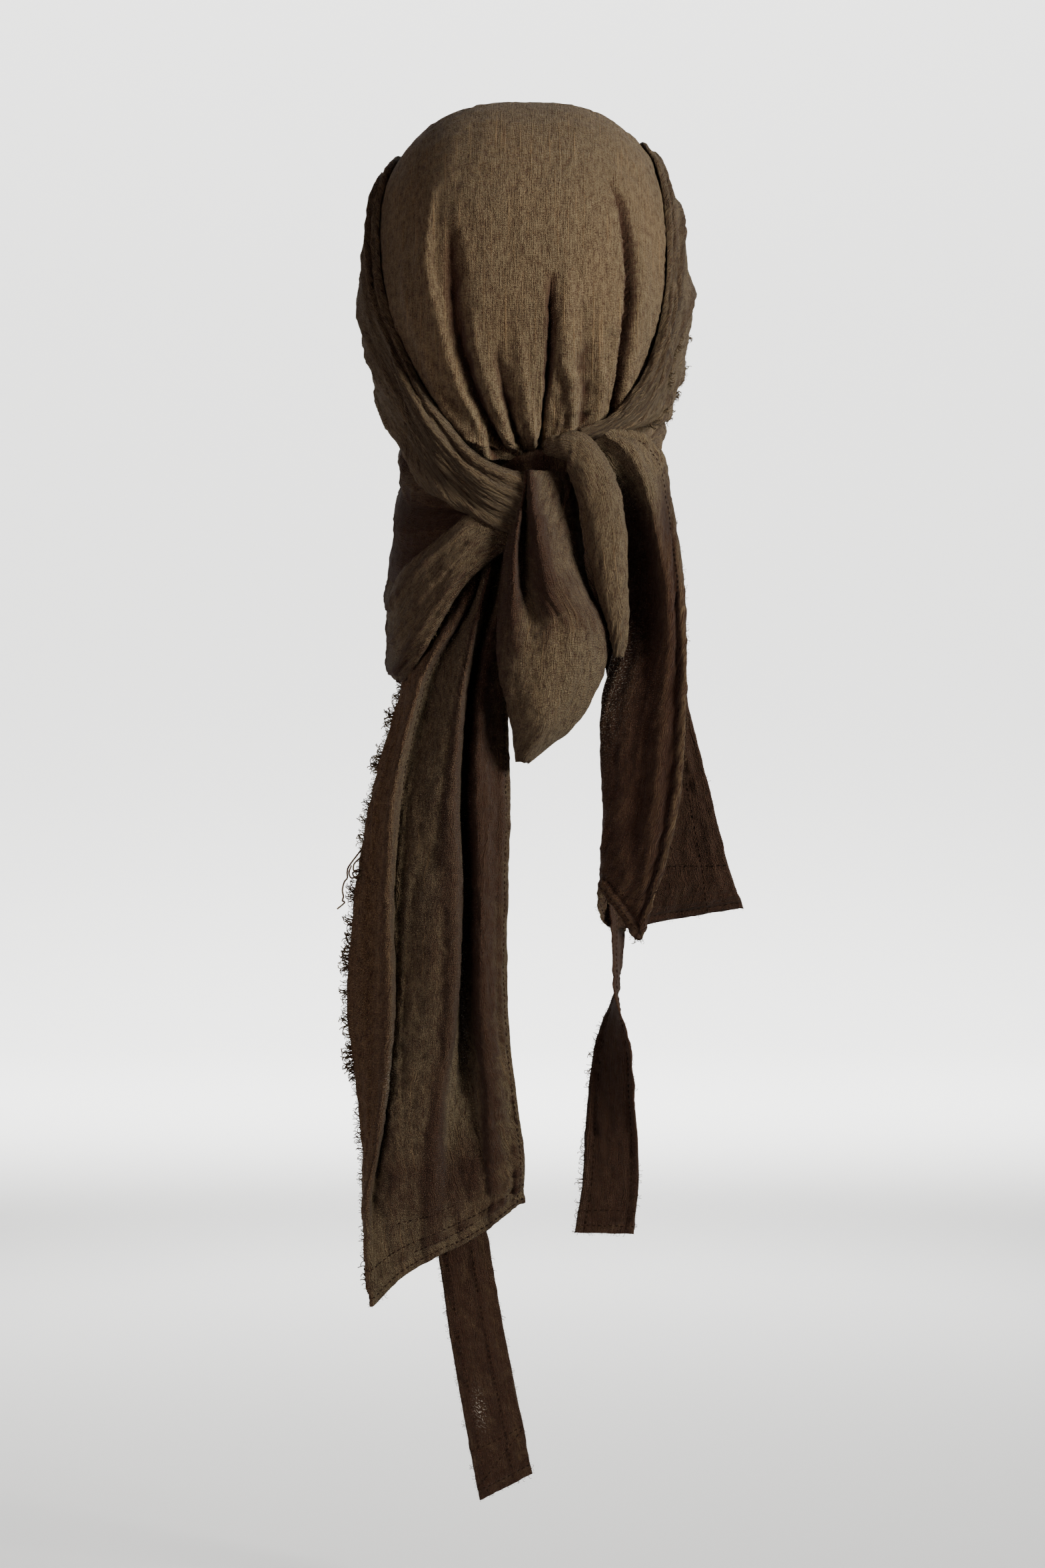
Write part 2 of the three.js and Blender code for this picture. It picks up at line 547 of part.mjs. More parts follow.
function toSolid(geometry) {
  return new wasm.Manifold(new wasm.Mesh({
    numProp: 3,
    vertProperties: new Float32Array(geometry.getAttribute('position').array),
    triVerts: new Uint32Array(geometry.getIndex().array),
  }));
}

function toGeometry(solid) {
  const mesh = solid.getMesh();
  const geometry = new THREE.BufferGeometry();
  geometry.setAttribute('position', new THREE.BufferAttribute(new Float32Array(mesh.vertProperties), 3));
  geometry.setIndex(new THREE.BufferAttribute(new Uint32Array(mesh.triVerts), 1));
  return geometry;
}

function largestBody(solid) {
  return solid.decompose().sort((a, b) => b.volume() - a.volume())[0];
}

const group = new THREE.Group();
const outerLayers = [];
for (const piece of PIECES) {
  let solid = toSolid(piece.geometry ?? sheetGeometry(piece, 0));
  for (const layer of outerLayers) {
    solid = solid.subtract(layer);
  }
  const geometry = toGeometry(largestBody(solid));
  const mesh = new THREE.Mesh(
    geometry,
    new THREE.MeshStandardMaterial({ color: piece.shade, roughness: 0.95, metalness: 0 }),
  );
  mesh.name = piece.name;
  group.add(mesh);
  if (piece.surface) {
    outerLayers.push(toSolid(sheetGeometry(piece, 0)).add(toSolid(sheetGeometry(piece, AIR))));
  }
}

export default group;
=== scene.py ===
"""A gauze head wrap as it is worn, tied at the nape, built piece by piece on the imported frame."""

import math

import bpy
import numpy as np
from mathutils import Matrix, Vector


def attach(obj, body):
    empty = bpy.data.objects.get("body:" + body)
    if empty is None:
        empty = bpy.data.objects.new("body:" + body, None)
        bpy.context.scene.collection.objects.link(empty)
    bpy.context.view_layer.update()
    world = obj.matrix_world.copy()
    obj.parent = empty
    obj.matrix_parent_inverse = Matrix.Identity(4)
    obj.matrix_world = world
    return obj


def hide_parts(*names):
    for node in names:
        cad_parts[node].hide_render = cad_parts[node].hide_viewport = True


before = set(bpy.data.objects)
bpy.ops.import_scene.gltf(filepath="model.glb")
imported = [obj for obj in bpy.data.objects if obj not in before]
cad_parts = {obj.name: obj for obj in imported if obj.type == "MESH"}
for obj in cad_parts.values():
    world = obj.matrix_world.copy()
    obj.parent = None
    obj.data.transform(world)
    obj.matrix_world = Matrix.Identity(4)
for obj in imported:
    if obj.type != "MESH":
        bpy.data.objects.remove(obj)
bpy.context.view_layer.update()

bl_info = {
    "name": "Gauze Head Wrap",
    "version": (1, 0, 0),
    "blender": (4, 5, 0),
    "location": "3D View > Sidebar > Head Wrap",
    "description": "Builds a tied gauze head wrap: pleated cap, side bands, knot, tails and ties",
    "category": "Add Mesh",
}

# Lengths are in millimetres and angles in degrees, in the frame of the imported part, unless a
# comment says otherwise
MM = 0.001

# The hollow that the cap is drawn over, an egg with flattened sides
HOLLOW_MIDDLE = np.array([0.0, 0.0, -110.0])
HOLLOW_HALF_WIDTH = 79.0
HOLLOW_BACK = 105.0
HOLLOW_FRONT = 92.0
HOLLOW_UP = 110.0
HOLLOW_DOWN = 115.0
HOLLOW_SQUARENESS = 2.6
HOLLOW_SQUARENESS_DEEP = 2.1
HOLLOW_SQUARENESS_BELOW = 1.1
HOLLOW_LEAN = 0.03

# Folds run out like a fan from the knot, about a hub inside the hollow. The brow and the temple,
# as (y, z), are where the cap ends in front.
HUB = np.array([0.0, 10.0, -150.0])
KNOT = np.array([-5.0, 74.0, -188.0])
BROW = (-88.0, -48.0)
TEMPLE = (-40.0, -145.0)
CAP_TURN_LIMIT = 104.0
CAP_REACH_START = 0.5
CAP_LIFT = 1.5
CAP_SWELL = 2.5
CAP_PIT = 9.0
BAND_LIFT = 4.8

# Hems: how high the doubled cloth lies, how soft its step is, and its groove and puckers
HEM_LIFT = 0.7
HEM_STEP = 0.5
HEM_SINK = 0.8
HEM_GROOVE = 1.3
HEM_PUCKER = 0.55
PUCKER_LENGTH = 2.8
PUCKER_REACH = 4

# How a cloth's folds are found for the shade painted into them: grid steps to each side, depth and
# slope of a full one, the level and slope of plain cloth, and how much of a fold's mark its neighbours take
FOLD_REACH = 4
FOLD_DEPTH = 2.6
FOLD_STEEP = 1.6
FOLD_LEVEL = 0.25
FOLD_FLAT = 0.12
FOLD_SPREAD = 0.8
CREASE_MIDDLE = 0.4

# How the cap's folds and gathers come in and run out, in degrees of reach
FAN_RADIUS = 90.0
ROOT_BEFORE = 6
ROOT_RUN = 10
TIP_PAST = 3
TIP_RUN = 15
TIP_ROUND = 0.7
TIP_SLIM = 0.35
GATHERS_FROM = 6
GATHERS_IN = 8
GATHERS_TO = 55
GATHERS_OUT = 35
SWELL_TO = 80
SWELL_OUT = 30
PIT_TO = 16
PIT_OUT = 12
BESIDE_BAND = 5

# The cap's gathers: height, and wave lengths in degrees of turn and reach, of themselves and of
# how they wander
GATHER_HEIGHT = 2.0
GATHERS = (9, 90)
GATHER_WANDER = 1.5
GATHER_WANDERS = (40, 45)

# Distances over which the cap's threads are measured: its radius across and along, and the
# half width that they wrap
CAP_ACROSS = 80
CAP_ALONG = 100
CAP_WRAP = 82

# Wave lengths of the cloth's own relief, across and along it, and shares of the crinkle's height
LONG_CREASES = (11, 75)
FINE_CRINKLE = (3.0, 8)
FINE_SWAY = (9, 14)
SHORT_CRINKLE = (2.6, 3.4)
SHORT_HEIGHT = 0.8
WEFT_CREASES = (14, 4.2)
WEFT_SWAY = (20, 9)
WEFT_PATCHES = (25, 30)
WEFT_HEIGHT = 1.5

# Pleats are flatter on a cloth under this width, fade towards the free end of a hanging one, and
# sway. Between them are fine creases, and a cloth's edges bend in.
PLEAT_FULL_WIDTH = 55
PLEAT_FLATTEST = 0.25
PLEAT_FADE_FROM = 0.80
PLEAT_FADE_RUN = 0.16
PLEAT_FADE = 0.85
PLEAT_SWAY = 0.012
PLEAT_SWAYS = 6
FINE_PITCH = 6
FINE_BREAKS = 3.5
EDGE_BEND = 1.6

# Stitches: points to a row, length as a share of the pitch, and how far they stand off the cloth
STITCH_POINTS = 60
STITCH_LENGTH = 0.72
STITCH_PROUD = 0.05

# Loose fibres: how far they lift off the cloth and turn about their way, how a length varies
# from fibre to fibre and from tuft to tuft, and grid steps in from a raw edge
FIBRE_LIFT = 0.45
FIBRE_SPREAD = 0.55
FIBRE_VARIES = (0.3, 1.3)
TUFT_LEAST = 0.35
TUFT_WIDTH = 7
EDGE_STEPS = 3


def table(columns, *rows):
    """Rows of named columns, as one array for each column."""
    names = columns.split()
    return {name: np.array([row[k] for row in rows], float) for k, name in enumerate(names)}


def levelled(columns, *rows):
    """Named lines down a cloth, from rows of (x, y) points at a level. A third number of a point is
    its own level."""
    lines = [[(*point, level)[:3] for point in points] for level, *points in rows]
    return dict(zip(columns.split(), np.array(lines, float).swapaxes(0, 1)))


# A fold of the cap: its height, how wide it falls away on its left and on its right, and its
# path as (reach, turn) stops in degrees
CAP_FOLDS = {
    "left pleat": (4.4, 12.0, 1.6, ((10, -90), (15, -86), (24, -56), (34, -47), (49, -38), (59, -33),
                                    (68, -30), (83, -23))),
    "left pleat shadow": (-6.5, 2.0, 5.0, ((14, -60), (27, -45), (42, -36), (53, -31), (63, -26),
                                           (73, -22))),
    "left side ridge": (3.4, 6.0, 5.0, ((22, -72), (38, -60), (55, -46), (65, -42), (76, -36))),
    "left inner ridge": (3.8, 6.5, 4.5, ((10, -47), (25, -34), (38, -30), (52, -23))),
    "left inner valley": (-5.5, 2.6, 4.5, ((10, -36), (28, -24), (42, -20))),
    "ridge by the middle": (3.4, 6.0, 3.0, ((8, -6), (17, -9), (30, -9), (46, -8))),
    "middle groove": (-9.0, 1.4, 1.4, ((8, 10), (22, 6), (38, 5), (47, 4), (52, 3), (58, 3))),
    "ridge right of middle": (3.8, 3.0, 6.0, ((10, 56), (22, 34), (38, 12), (50, 8), (59, 7))),
    "soft valley": (-2.2, 5.0, 4.5, ((20, 47), (27, 38), (40, 22), (52, 14))),
    "right inner ridge": (2.4, 4.0, 4.0, ((20, 60), (31, 47), (43, 28), (50, 22))),
    "right groove": (-9.0, 2.2, 1.8, ((18, 74), (32, 60), (38, 50), (46, 39), (55, 32), (60, 29), (68, 25),
                                      (74, 22), (80, 19), (84, 15))),
    "right pleat": (2.6, 3.0, 8.0, ((12, 86), (23, 72), (32, 65), (38, 55), (46, 44), (55, 37), (60, 34),
                                    (68, 30), (74, 27), (80, 24))),
}

# Where the bands' upper edges lie on the cap, as (reach, turn) stops
BAND_EDGE_LEFT = ((25, -85), (40, -67), (59, -59), (81, -52), (95, -46), (120, -40))
BAND_EDGE_RIGHT = ((25, 80), (34, 75), (50, 63), (58, 51), (67, 45), (78, 41), (87, 35), (120, 33))

# The side bands, from the temple to the knot
BAND_LEFT = table(
    "upper lower",
    ((38, -76, -57), (68, -44, -137)),
    ((54, -46, -33), (69, -28, -151)),
    ((60, -18, -22), (66, -6, -163)),
    ((65, 12, -28), (61, 13, -176)),
    ((73, 40, -52), (57, 34, -187)),
    ((71, 65, -96), (50, 56, -197)),
    ((56, 77, -138), (39, 74, -205)),
    ((36, 82, -169), (28, 83, -211)),
    ((20, 90, -185), (17, 89, -217)),
    ((-1, 93, -193), (6, 92, -222)),
)
BAND_RIGHT = table(
    "upper lower",
    ((-36, -76, -57), (-70, -44, -137)),
    ((-50, -46, -28), (-72, -26, -146)),
    ((-56, -18, -18), (-74, -6, -154)),
    ((-60, 14, -19), (-74, 12, -158)),
    ((-68, 42, -40), (-70, 34, -161)),
    ((-71, 66, -88), (-68, 58, -164)),
    ((-63, 76, -132), (-58, 75, -168)),
    ((-46, 83, -160), (-45, 85, -172)),
    ((-27, 87, -170), (-30, 89, -178)),
)

# Pleats along a cloth: where each starts and ends across it (0 at the first edge), its height, and
# how wide it falls away on its two sides
FOLDS = {
    "side_band_left": (
        (0.03, 0.10, 1.8, 2.2, 2.2),
        (0.12, 0.30, 4.2, 1.5, 9.0),
        (0.36, 0.48, 1.6, 5.0, 3.0),
        (0.55, 0.62, 2.8, 6.0, 2.4),
        (0.70, 0.74, 1.4, 3.0, 4.0),
        (0.87, 0.88, 3.0, 5.0, 4.0),
    ),
    "side_band_right": (
        (0.10, 0.14, 2.6, 2.4, 4.5),
        (0.34, 0.40, 3.4, 5.5, 1.6),
        (0.60, 0.64, 3.2, 6.0, 1.6),
        (0.86, 0.86, 2.4, 5.0, 2.4),
    ),
    "nape_flap": (
        (0.12, 0.10, 2.6, 2.0, 4.0),
        (0.40, 0.34, -4.5, 3.0, 5.0),
        (0.50, 0.56, 2.2, 3.0, 3.0),
        (0.74, 0.70, -1.8, 3.0, 3.0),
    ),
    "neck_drape_left": (
        (0.10, 0.12, 4.0, 2.5, 7.0),
        (0.42, 0.48, 2.4, 6.0, 3.0),
        (0.72, 0.78, 3.6, 5.0, 4.0),
    ),
    "tail_left": (
        (0.04, 0.05, 1.4, 3.0, 2.5),
        (0.09, 0.10, -1.4, 2.0, 2.0),
        (0.175, 0.175, 2.2, 4.0, 1.2),
        (0.215, 0.215, -7.0, 2.6, 4.2),
        (0.38, 0.38, 4.4, 6.0, 9.0),
        (0.46, 0.45, -1.2, 1.6, 1.6),
        (0.50, 0.50, 2.0, 6.0, 1.4),
        (0.55, 0.55, -5.0, 1.8, 6.5),
        (0.73, 0.80, 4.2, 2.5, 5.0),
        (0.93, 0.93, -1.2, 2.5, 2.5),
    ),
    "tail_right": (
        (0.02, 0.02, 1.8, 1.4, 1.4),
        (0.10, 0.08, -1.2, 2.0, 3.0),
        (0.17, 0.17, 2.0, 4.0, 2.0),
        (0.24, 0.26, -1.8, 2.0, 3.0),
        (0.34, 0.38, 1.6, 2.5, 2.5),
        (0.62, 0.64, 1.6, 3.0, 2.0),
        (0.74, 0.76, 1.4, 2.0, 3.0),
        (0.86, 0.86, 1.4, 3.0, 2.0),
    ),
}


# The flap under the bands, from the left temple round the nape to the right
NAPE_FLAP = table(
    "upper lower",
    ((61, -26, -160), (67, -20, -222)),
    ((61, 8, -168), (68, 10, -236)),
    ((55, 36, -182), (64, 35, -243)),
    ((40, 55, -191), (46, 57, -240)),
    ((14, 66, -196), (16, 67, -236)),
    ((-14, 66, -195), (-16, 67, -232)),
    ((-42, 55, -185), (-44, 58, -220)),
    ((-60, 38, -172), (-64, 42, -206)),
    ((-69, 12, -160), (-70, 12, -199)),
    ((-69, -22, -150), (-68, -20, -186)),
)

# The swag round the left of the neck, from the knot forwards
NECK_DRAPE = table(
    "upper lower",
    ((10, 85, -209), (3, 85, -226)),
    ((25, 85, -211), (14, 90, -232)),
    ((39, 81, -220), (30, 90, -247)),
    ((53, 72, -231), (41, 87, -264)),
    ((62, 57, -238), (51, 84, -281)),
    ((66, 38, -243), (60, 72, -293)),
    ((67, 14, -236), (66, 34, -284)),
    ((64, -12, -212), (65, 2, -254)),
    ((60, -32, -176), (60, -24, -218)),
)

# The loop below the knot, from its left back edge round to its right
POUCH = levelled(
    "leftBack leftEdge lobe valley ridge dip shoulder rightEdge rightBack",
    (-190, (1, 84), (0, 90), (-1, 94), (-1.5, 93), (-2.5, 96), (-8, 92), (-15, 88), (-21, 84),
     (-22, 80)),
    (-204, (4, 82), (2.5, 90), (1, 97), (-0.4, 92), (-3.4, 102), (-10, 96), (-17, 92), (-23, 87),
     (-25, 80)),
    (-220, (7, 82), (7, 90), (4, 103), (0, 93), (-5.4, 108), (-12.5, 102), (-19, 97), (-25, 90),
     (-27, 81)),
    (-235, (9, 82), (10, 91), (5.5, 106), (0.6, 96), (-7.5, 111), (-15, 107), (-20.5, 102), (-26, 93),
     (-28, 82)),
    (-250, (10, 82), (11.5, 92), (6, 108), (-1, 101), (-10, 113), (-18, 112), (-25, 107), (-31, 97),
     (-32, 84)),
    (-261, (10, 83), (13, 93), (7, 107), (-3, 106), (-12, 113), (-21, 113), (-29, 108), (-37, 98),
     (-37, 85)),
    (-273, (10, 84), (13, 97), (7, 109), (-3, 112), (-12, 114), (-21, 113), (-30, 108), (-39, 98),
     (-38, 86)),
    (-287, (9, 85), (12, 101), (6, 110), (-3, 113), (-12, 114), (-20, 113), (-29, 107), (-37, 98),
     (-36, 87)),
    (-301, (6, 87), (9, 103), (4, 109), (-3, 113), (-10, 114), (-17, 112), (-24, 107), (-31, 98),
     (-30, 89)),
    (-314, (4, 89), (6, 101), (2, 107), (-3, 110), (-8, 112), (-12, 110), (-17, 105), (-22, 97),
     (-21, 91)),
    (-330, (4, 92), (4, 94), (3, 97), (2, 99), (1, 100), (0, 99), (-1, 97), (-2, 95), (-2, 93)),
)

# The rolled fold, a row for each section along its run
ROLL = table(
    "centre half",
    ((-9, 88, -178), 3.5),
    ((-15, 95, -178), 6.5),
    ((-24, 101, -180), 9),
    ((-31, 104, -190), 9.8),
    ((-35.5, 106, -202), 10),
    ((-38.4, 108, -221), 9.8),
    ((-41.4, 107, -245), 7.4),
    ((-44.3, 104, -265), 5),
    ((-44.7, 99, -280), 2),
)
ROLL_WRAP = 2.2

# The tails, from their outer edges round to their inner ones
TAIL_LEFT = levelled(
    "rawEdge ridge grooveOne ridgeTwo grooveTwo ridgeThree hemEdge",
    (-210, (30, 68), (20, 76), (16, 73), (12, 79), (8, 75), (4, 80), (-1, 76)),
    (-250, (48, 66), (27, 84), (24, 79), (20, 86), (16, 77), (10, 84), (3, 80)),
    (-280, (58, 64), (45, 88), (38, 80), (27, 92), (24, 76), (18, 88), (6, 81)),
    (-305, (63, 74), (54, 92), (45, 84), (31, 97), (29, 77), (21, 92), (8, 83)),
    (-345, (74, 78), (63, 94), (53, 86), (34, 98), (30, 79), (22, 96), (7, 90)),
    (-395, (82, 78), (66, 95), (59, 87), (33, 99), (30, 79), (21, 97), (8, 91)),
    (-450, (86, 78), (65, 96), (60, 88), (35, 99), (30, 82), (19, 98), (8, 92)),
    (-500, (80, 82), (69, 97), (62, 92), (42, 98), (27, 92), (14, 96), (3, 94, -498)),
    (-544, (78, 86), (76, 96, -546), (64, 96, -540), (44, 98, -534), (28, 95, -530), (14, 97, -526),
     (0, 95, -520)),
    (-587, (75, 89), (73, 97, -591), (60, 97, -578), (44, 98, -568), (29, 97, -561), (15, 97, -552),
     (1, 95, -541)),
)
TAIL_RIGHT = levelled(
    "freeEdge ridge groove fold backInner backMiddle backEdge",
    (-174, (-40, 95, -171), (-38, 97, -173), (-36, 95), (-33, 93, -176), (-34, 88, -178),
     (-38, 84, -176), (-42, 84)),
    (-186, (-56, 88, -172), (-50, 98, -181), (-45, 93), (-40, 90, -188), (-42, 82, -188), (-50, 78),
     (-57, 76, -180)),
    (-200, (-66, 79, -182), (-58, 95, -196), (-52, 86), (-45, 83), (-47, 75), (-56, 70, -198),
     (-65, 66, -190)),
    (-220, (-70, 80, -202), (-63, 94, -218), (-56, 84), (-47, 76), (-49, 70), (-59, 65, -218),
     (-68, 62, -210)),
    (-240, (-75, 92, -236), (-67, 95), (-58, 84), (-47, 75), (-50, 66), (-61, 62, -238),
     (-71, 62, -234)),
    (-268, (-77, 97, -266), (-69, 95), (-59, 84), (-45, 75), (-50, 64), (-62, 61), (-75, 63, -266)),
    (-304, (-77, 99), (-66, 95), (-52, 86), (-37, 76), (-44, 62), (-62, 60), (-80, 64)),
    (-348, (-74, 99), (-62, 95), (-50, 87), (-38, 76), (-46, 60), (-68, 60), (-91, 66)),
    (-380, (-67, 97), (-59, 94), (-48, 88), (-37, 76), (-44, 58), (-72, 60), (-99, 67)),
    (-413, (-56, 94), (-53, 93, -415), (-46, 88, -404), (-36, 77, -392), (-42, 58, -411),
     (-72, 60, -407), (-106, 68, -401)),
)

# The narrow ties, a row for each level: centre, turn in degrees, width, and how much lower the
# +X edge is than the centre
TIE_LEFT = table(
    "z x y turn width drop",
    (-208, 5, 70, 0, 13, 0),
    (-240, 14, 71, 0, 17, 0),
    (-300, 30, 65, 0, 22, 2),
    (-380, 42, 65, 0, 25, 0),
    (-460, 45, 67, 0, 25, -2),
    (-530, 37, 70, 5, 25, 2),
    (-567, 30, 72, 0, 24, 5),
    (-605, 24, 73, 0, 25, 5),
    (-645, 16.5, 73, 3, 25.5, 6),
    (-682.5, 9.5, 73, 0, 25.5, 6.5),
)
TIE_RIGHT = table(
    "z x y turn width drop",
    (-208, -20, 70, 0, 13, 0),
    (-240, -38, 64, 5, 20, 0),
    (-280, -52, 52, 10, 26, 0),
    (-330, -54, 48, 20, 28, 0),
    (-380, -50, 48, 50, 28, 0),
    (-415, -46, 51, 78, 28, 0),
    (-443, -45, 53, 88, 28, 0),
    (-468, -43.5, 54, 125, 28, 0),
    (-501, -42.5, 55, 147, 28, 0),
    (-535, -42, 56, 168, 28, 0),
    (-561, -38.5, 56, 172, 29, 0),
)

# The bunched cloth inside the knot
BUNCH_CENTRE = np.array([-12.0, 64.0, -204.0])
BUNCH_HALF = np.array([28.0, 13.0, 30.0])
BUNCH_WRAP = 2.6
BUNCH_RIPPLES = 7
BUNCH_RIPPLE = 0.12

# Short creases across a cloth: share across, how far they reach to each side, height and pitch in
# millimetres, and how far they slope
CROSS_CREASES = {
    "tail_left": (0.84, 0.10, 0.9, 4.6, 0.5),
    "knot_roll": (0.5, 0.5, 0.6, 4.4, -0.3),
    "pouch": (0.5, 0.5, 0.35, 5.0, 0.1),
    "neck_drape_left": (0.5, 0.6, 0.5, 5.0, 0.6),
    "side_band_left": (0.6, 0.5, 0.3, 5.0, 0.8),
    "tail_right": (0.9, 0.15, 0.5, 4.6, 0.3),
}

# Rows of stitches, as (across, along) shares of the cloth
SEAMS = {
    "tail_left": (
        ((0.21, 0.12), (0.21, 0.28), (0.215, 0.42), (0.22, 0.56)),
        ((0.975, 0.16), (0.975, 0.5), (0.972, 0.8), (0.97, 0.99)),
        ((0.02, 0.955), (0.2, 0.958), (0.5, 0.962), (0.8, 0.958), (0.99, 0.955)),
        ((0.02, 0.990), (0.3, 0.991), (0.6, 0.991), (0.99, 0.990)),
        ((0.42, 0.975), (0.55, 0.976), (0.70, 0.972)),
        ((0.36, 0.925), (0.50, 0.932), (0.60, 0.928)),
        ((0.06, 0.90), (0.10, 0.95), (0.13, 0.995)),
        ((0.025, 0.91), (0.03, 0.99)),
    ),
    "tail_right": (
        ((0.05, 0.12), (0.05, 0.4), (0.05, 0.7), (0.06, 0.98)),
        ((0.02, 0.93), (0.15, 0.94), (0.32, 0.95), (0.45, 0.94)),
        ((0.02, 0.985), (0.15, 0.986), (0.32, 0.986), (0.48, 0.985)),
        ((0.57, 0.985), (0.75, 0.986), (0.99, 0.985)),
        ((0.57, 0.89), (0.75, 0.893), (0.99, 0.89)),
        ((0.93, 0.25), (0.93, 0.5), (0.925, 0.75), (0.92, 0.99)),
    ),
    "tie_left": (
        ((0.18, 0.02), (0.17, 0.3), (0.18, 0.6), (0.17, 0.99)),
        ((0.66, 0.02), (0.67, 0.3), (0.66, 0.6), (0.67, 0.99)),
        ((0.04, 0.985), (0.5, 0.986), (0.96, 0.985)),
        ((0.04, 0.93), (0.5, 0.931), (0.96, 0.93)),
        ((0.05, 0.98), (0.95, 0.935)),
    ),
    "tie_right": (
        ((0.82, 0.02), (0.83, 0.3), (0.82, 0.6), (0.83, 0.99)),
        ((0.12, 0.02), (0.12, 0.3), (0.13, 0.6), (0.12, 0.99)),
        ((0.03, 0.985), (0.5, 0.986), (0.97, 0.985)),
        ((0.03, 0.955), (0.5, 0.954), (0.97, 0.957)),
    ),
}

# How red-brown each cloth is painted where it lies in shade, as (share across, warmth) stops
SHADE_WARMTH = {
    "all": ((0, 0.1), (1, 0.1)),
    "nape_flap": ((0, 0.3), (1, 0.6)),
    "knot": ((0, 0.5), (1, 0.5)),
    "tail_left": ((0, 1.0), (0.15, 0.9), (0.18, 0), (1, 0)),
    "tail_right": ((0, 0.5), (0.08, 0.9), (0.5, 1.0), (0.55, 0.3), (1, 0.2)),
    "tie_left": ((0, 0.5), (1, 0.5)),
    "tie_right": ((0, 0.3), (1, 0.25)),
}

# Painted shade: how far a cloth lies in the shade of the others, as (share along, darkness) stops,
# painted lighter where it is less than nothing
SHADED = {
    "all": ((0, 0), (1, 0)),
    "side_band_left": ((0, -0.5), (1, -0.5)),
    "side_band_right": ((0, -0.35), (1, -0.35)),
    "pouch": ((0, 0.3), (0.5, 0.3), (0.75, -0.1), (1, -0.4)),
    "tail_left": ((0, 0.2), (0.12, 0), (0.25, -0.15), (0.75, -0.1), (0.86, 0.15), (1, 0.1)),
    "tail_right": ((0, -0.1), (0.15, 0), (0.32, 0.8), (0.6, 0.75), (0.85, 0.8), (1, 0.5)),
    "tie_left": ((0, 0.7), (1, 0.65)),
    "tie_right": ((0, 0.5), (0.6, 1.2), (0.85, 1.0), (1, 0.65)),
    "nape_flap": ((0, 0.7), (0.35, 0.6), (0.5, 0.1), (1, 0.1)),
}

# How the painted red-brown of shade comes in along a cloth
SHADE_WARM_RISE = {
    "all": ((0, 0.2), (0.27, 1)),
    "tail_right": ((0, 0), (0.25, 0), (0.5, 1)),
}

# Patches of painted shade, or of painted light where less than nothing: (share across, share along,
# reach across, reach along, how much)
PAINTED_SHADE_PATCHES = {
    "nape_flap": ((1.0, 0.2, 0.5, 0.22, 0.8),),
    "neck_drape_left": ((0.25, 0.3, 0.25, 0.3, -0.3),),
    "pouch": ((0.7, 0.8, 0.4, 0.25, -0.6),),
    "tail_right": ((0.9, 0.75, 0.24, 0.5, 1.0), (0.0, 0.7, 0.05, 0.4, -0.9),
                   (0.15, 0.12, 0.2, 0.15, -0.5)),
    "tail_left": ((0.1, 0.5, 0.1, 0.5, -0.45), (0.85, 0.48, 0.15, 0.28, 1.2), (0.22, 0.2, 0.03, 0.2, 0.6),
                  (0.57, 0.3, 0.04, 0.2, 0.6), (0.58, 0.88, 0.2, 0.07, 0.8), (0.15, 0.94, 0.15, 0.1, -0.5)),
}

# How strongly the weave's relief shows
ROUGH = {"all": 1.0, "crown": 0.7}

# Thin places where light coming through is painted as pale specks: (share across, share along, reach
# across, reach along)
THIN = {
    "tail_left": ((0.24, 0.74, 0.05, 0.05), (0.65, 0.64, 0.05, 0.055)),
    "tail_right": ((0.52, 0.62, 0.10, 0.08), (0.80, 0.68, 0.06, 0.07)),
    "tie_left": ((0.3, 0.88, 0.08, 0.02),),
}

# Raw edges with loose fibres: side, where it starts and ends along it, fibre length, and fibres to
# a centimetre. The fold is FRAYED_FOLD, and the skyline is each column's outermost point to -X.
FRAYS = {
    "side_band_right": (("fold", 0.0, 1.0, 4.2, 40), ("skyline", 0.74, 1.0, 3.0, 26),
                        ("right", 0.0, 0.9, 2.4, 10)),
    "side_band_left": (("right", 0.3, 0.9, 1.6, 5), ("left", 0.2, 0.9, 1.2, 4)),
    "knot_roll": (("right", 0.05, 0.6, 3.4, 34), ("left", 0.1, 0.9, 1.4, 6)),
    "neck_drape_left": (("left", 0.2, 0.9, 1.6, 6), ("right", 0.2, 0.9, 1.6, 6)),
    "pouch": (("lower", 0.0, 1.0, 1.4, 6),),
    "tail_left": (("left", 0.12, 0.92, 5.0, 50), ("left", 0.92, 1.0, 6.0, 40),
                  ("lower", 0.0, 0.2, 2.5, 12)),
    "tail_right": (("left", 0.1, 1.0, 2.2, 9), ("lower", 0.0, 0.6, 3.4, 22), ("lower", 0.6, 1.0, 1.6, 8),
                   ("right", 0.2, 1.0, 1.6, 6)),
    "tie_left": (("right", 0.0, 1.0, 1.8, 14), ("left", 0.0, 1.0, 2.0, 16), ("lower", 0.0, 1.0, 2.0, 12)),
    "tie_right": (("right", 0.0, 1.0, 3.4, 20), ("left", 0.0, 1.0, 2.0, 12), ("lower", 0.0, 1.0, 2.4, 14)),
}

# Pulled threads at the long tail's raw edge, as points (x, z) on the way along each
PULLED_THREADS = (
    ((79, -372), (85, -380), (86, -383), (86, -386), (87.5, -388), (88.5, -392), (88, -395), (88.5, -397),
     (87.5, -398), (91, -401)),
    ((79.5, -376), (82.5, -379), (83, -381.5), (82.5, -382.5), (80.5, -382), (80.5, -383), (82.5, -383),
     (83.5, -384), (82, -386), (79, -384.5)),
    ((84, -380), (85, -382.5), (85, -384.5), (84, -386), (82, -385.5), (79.5, -384.5)),
)
PULLED_DEPTH = 82.0
PULLED_CURL = 1.5
PULLED_WIDTH = 1.3

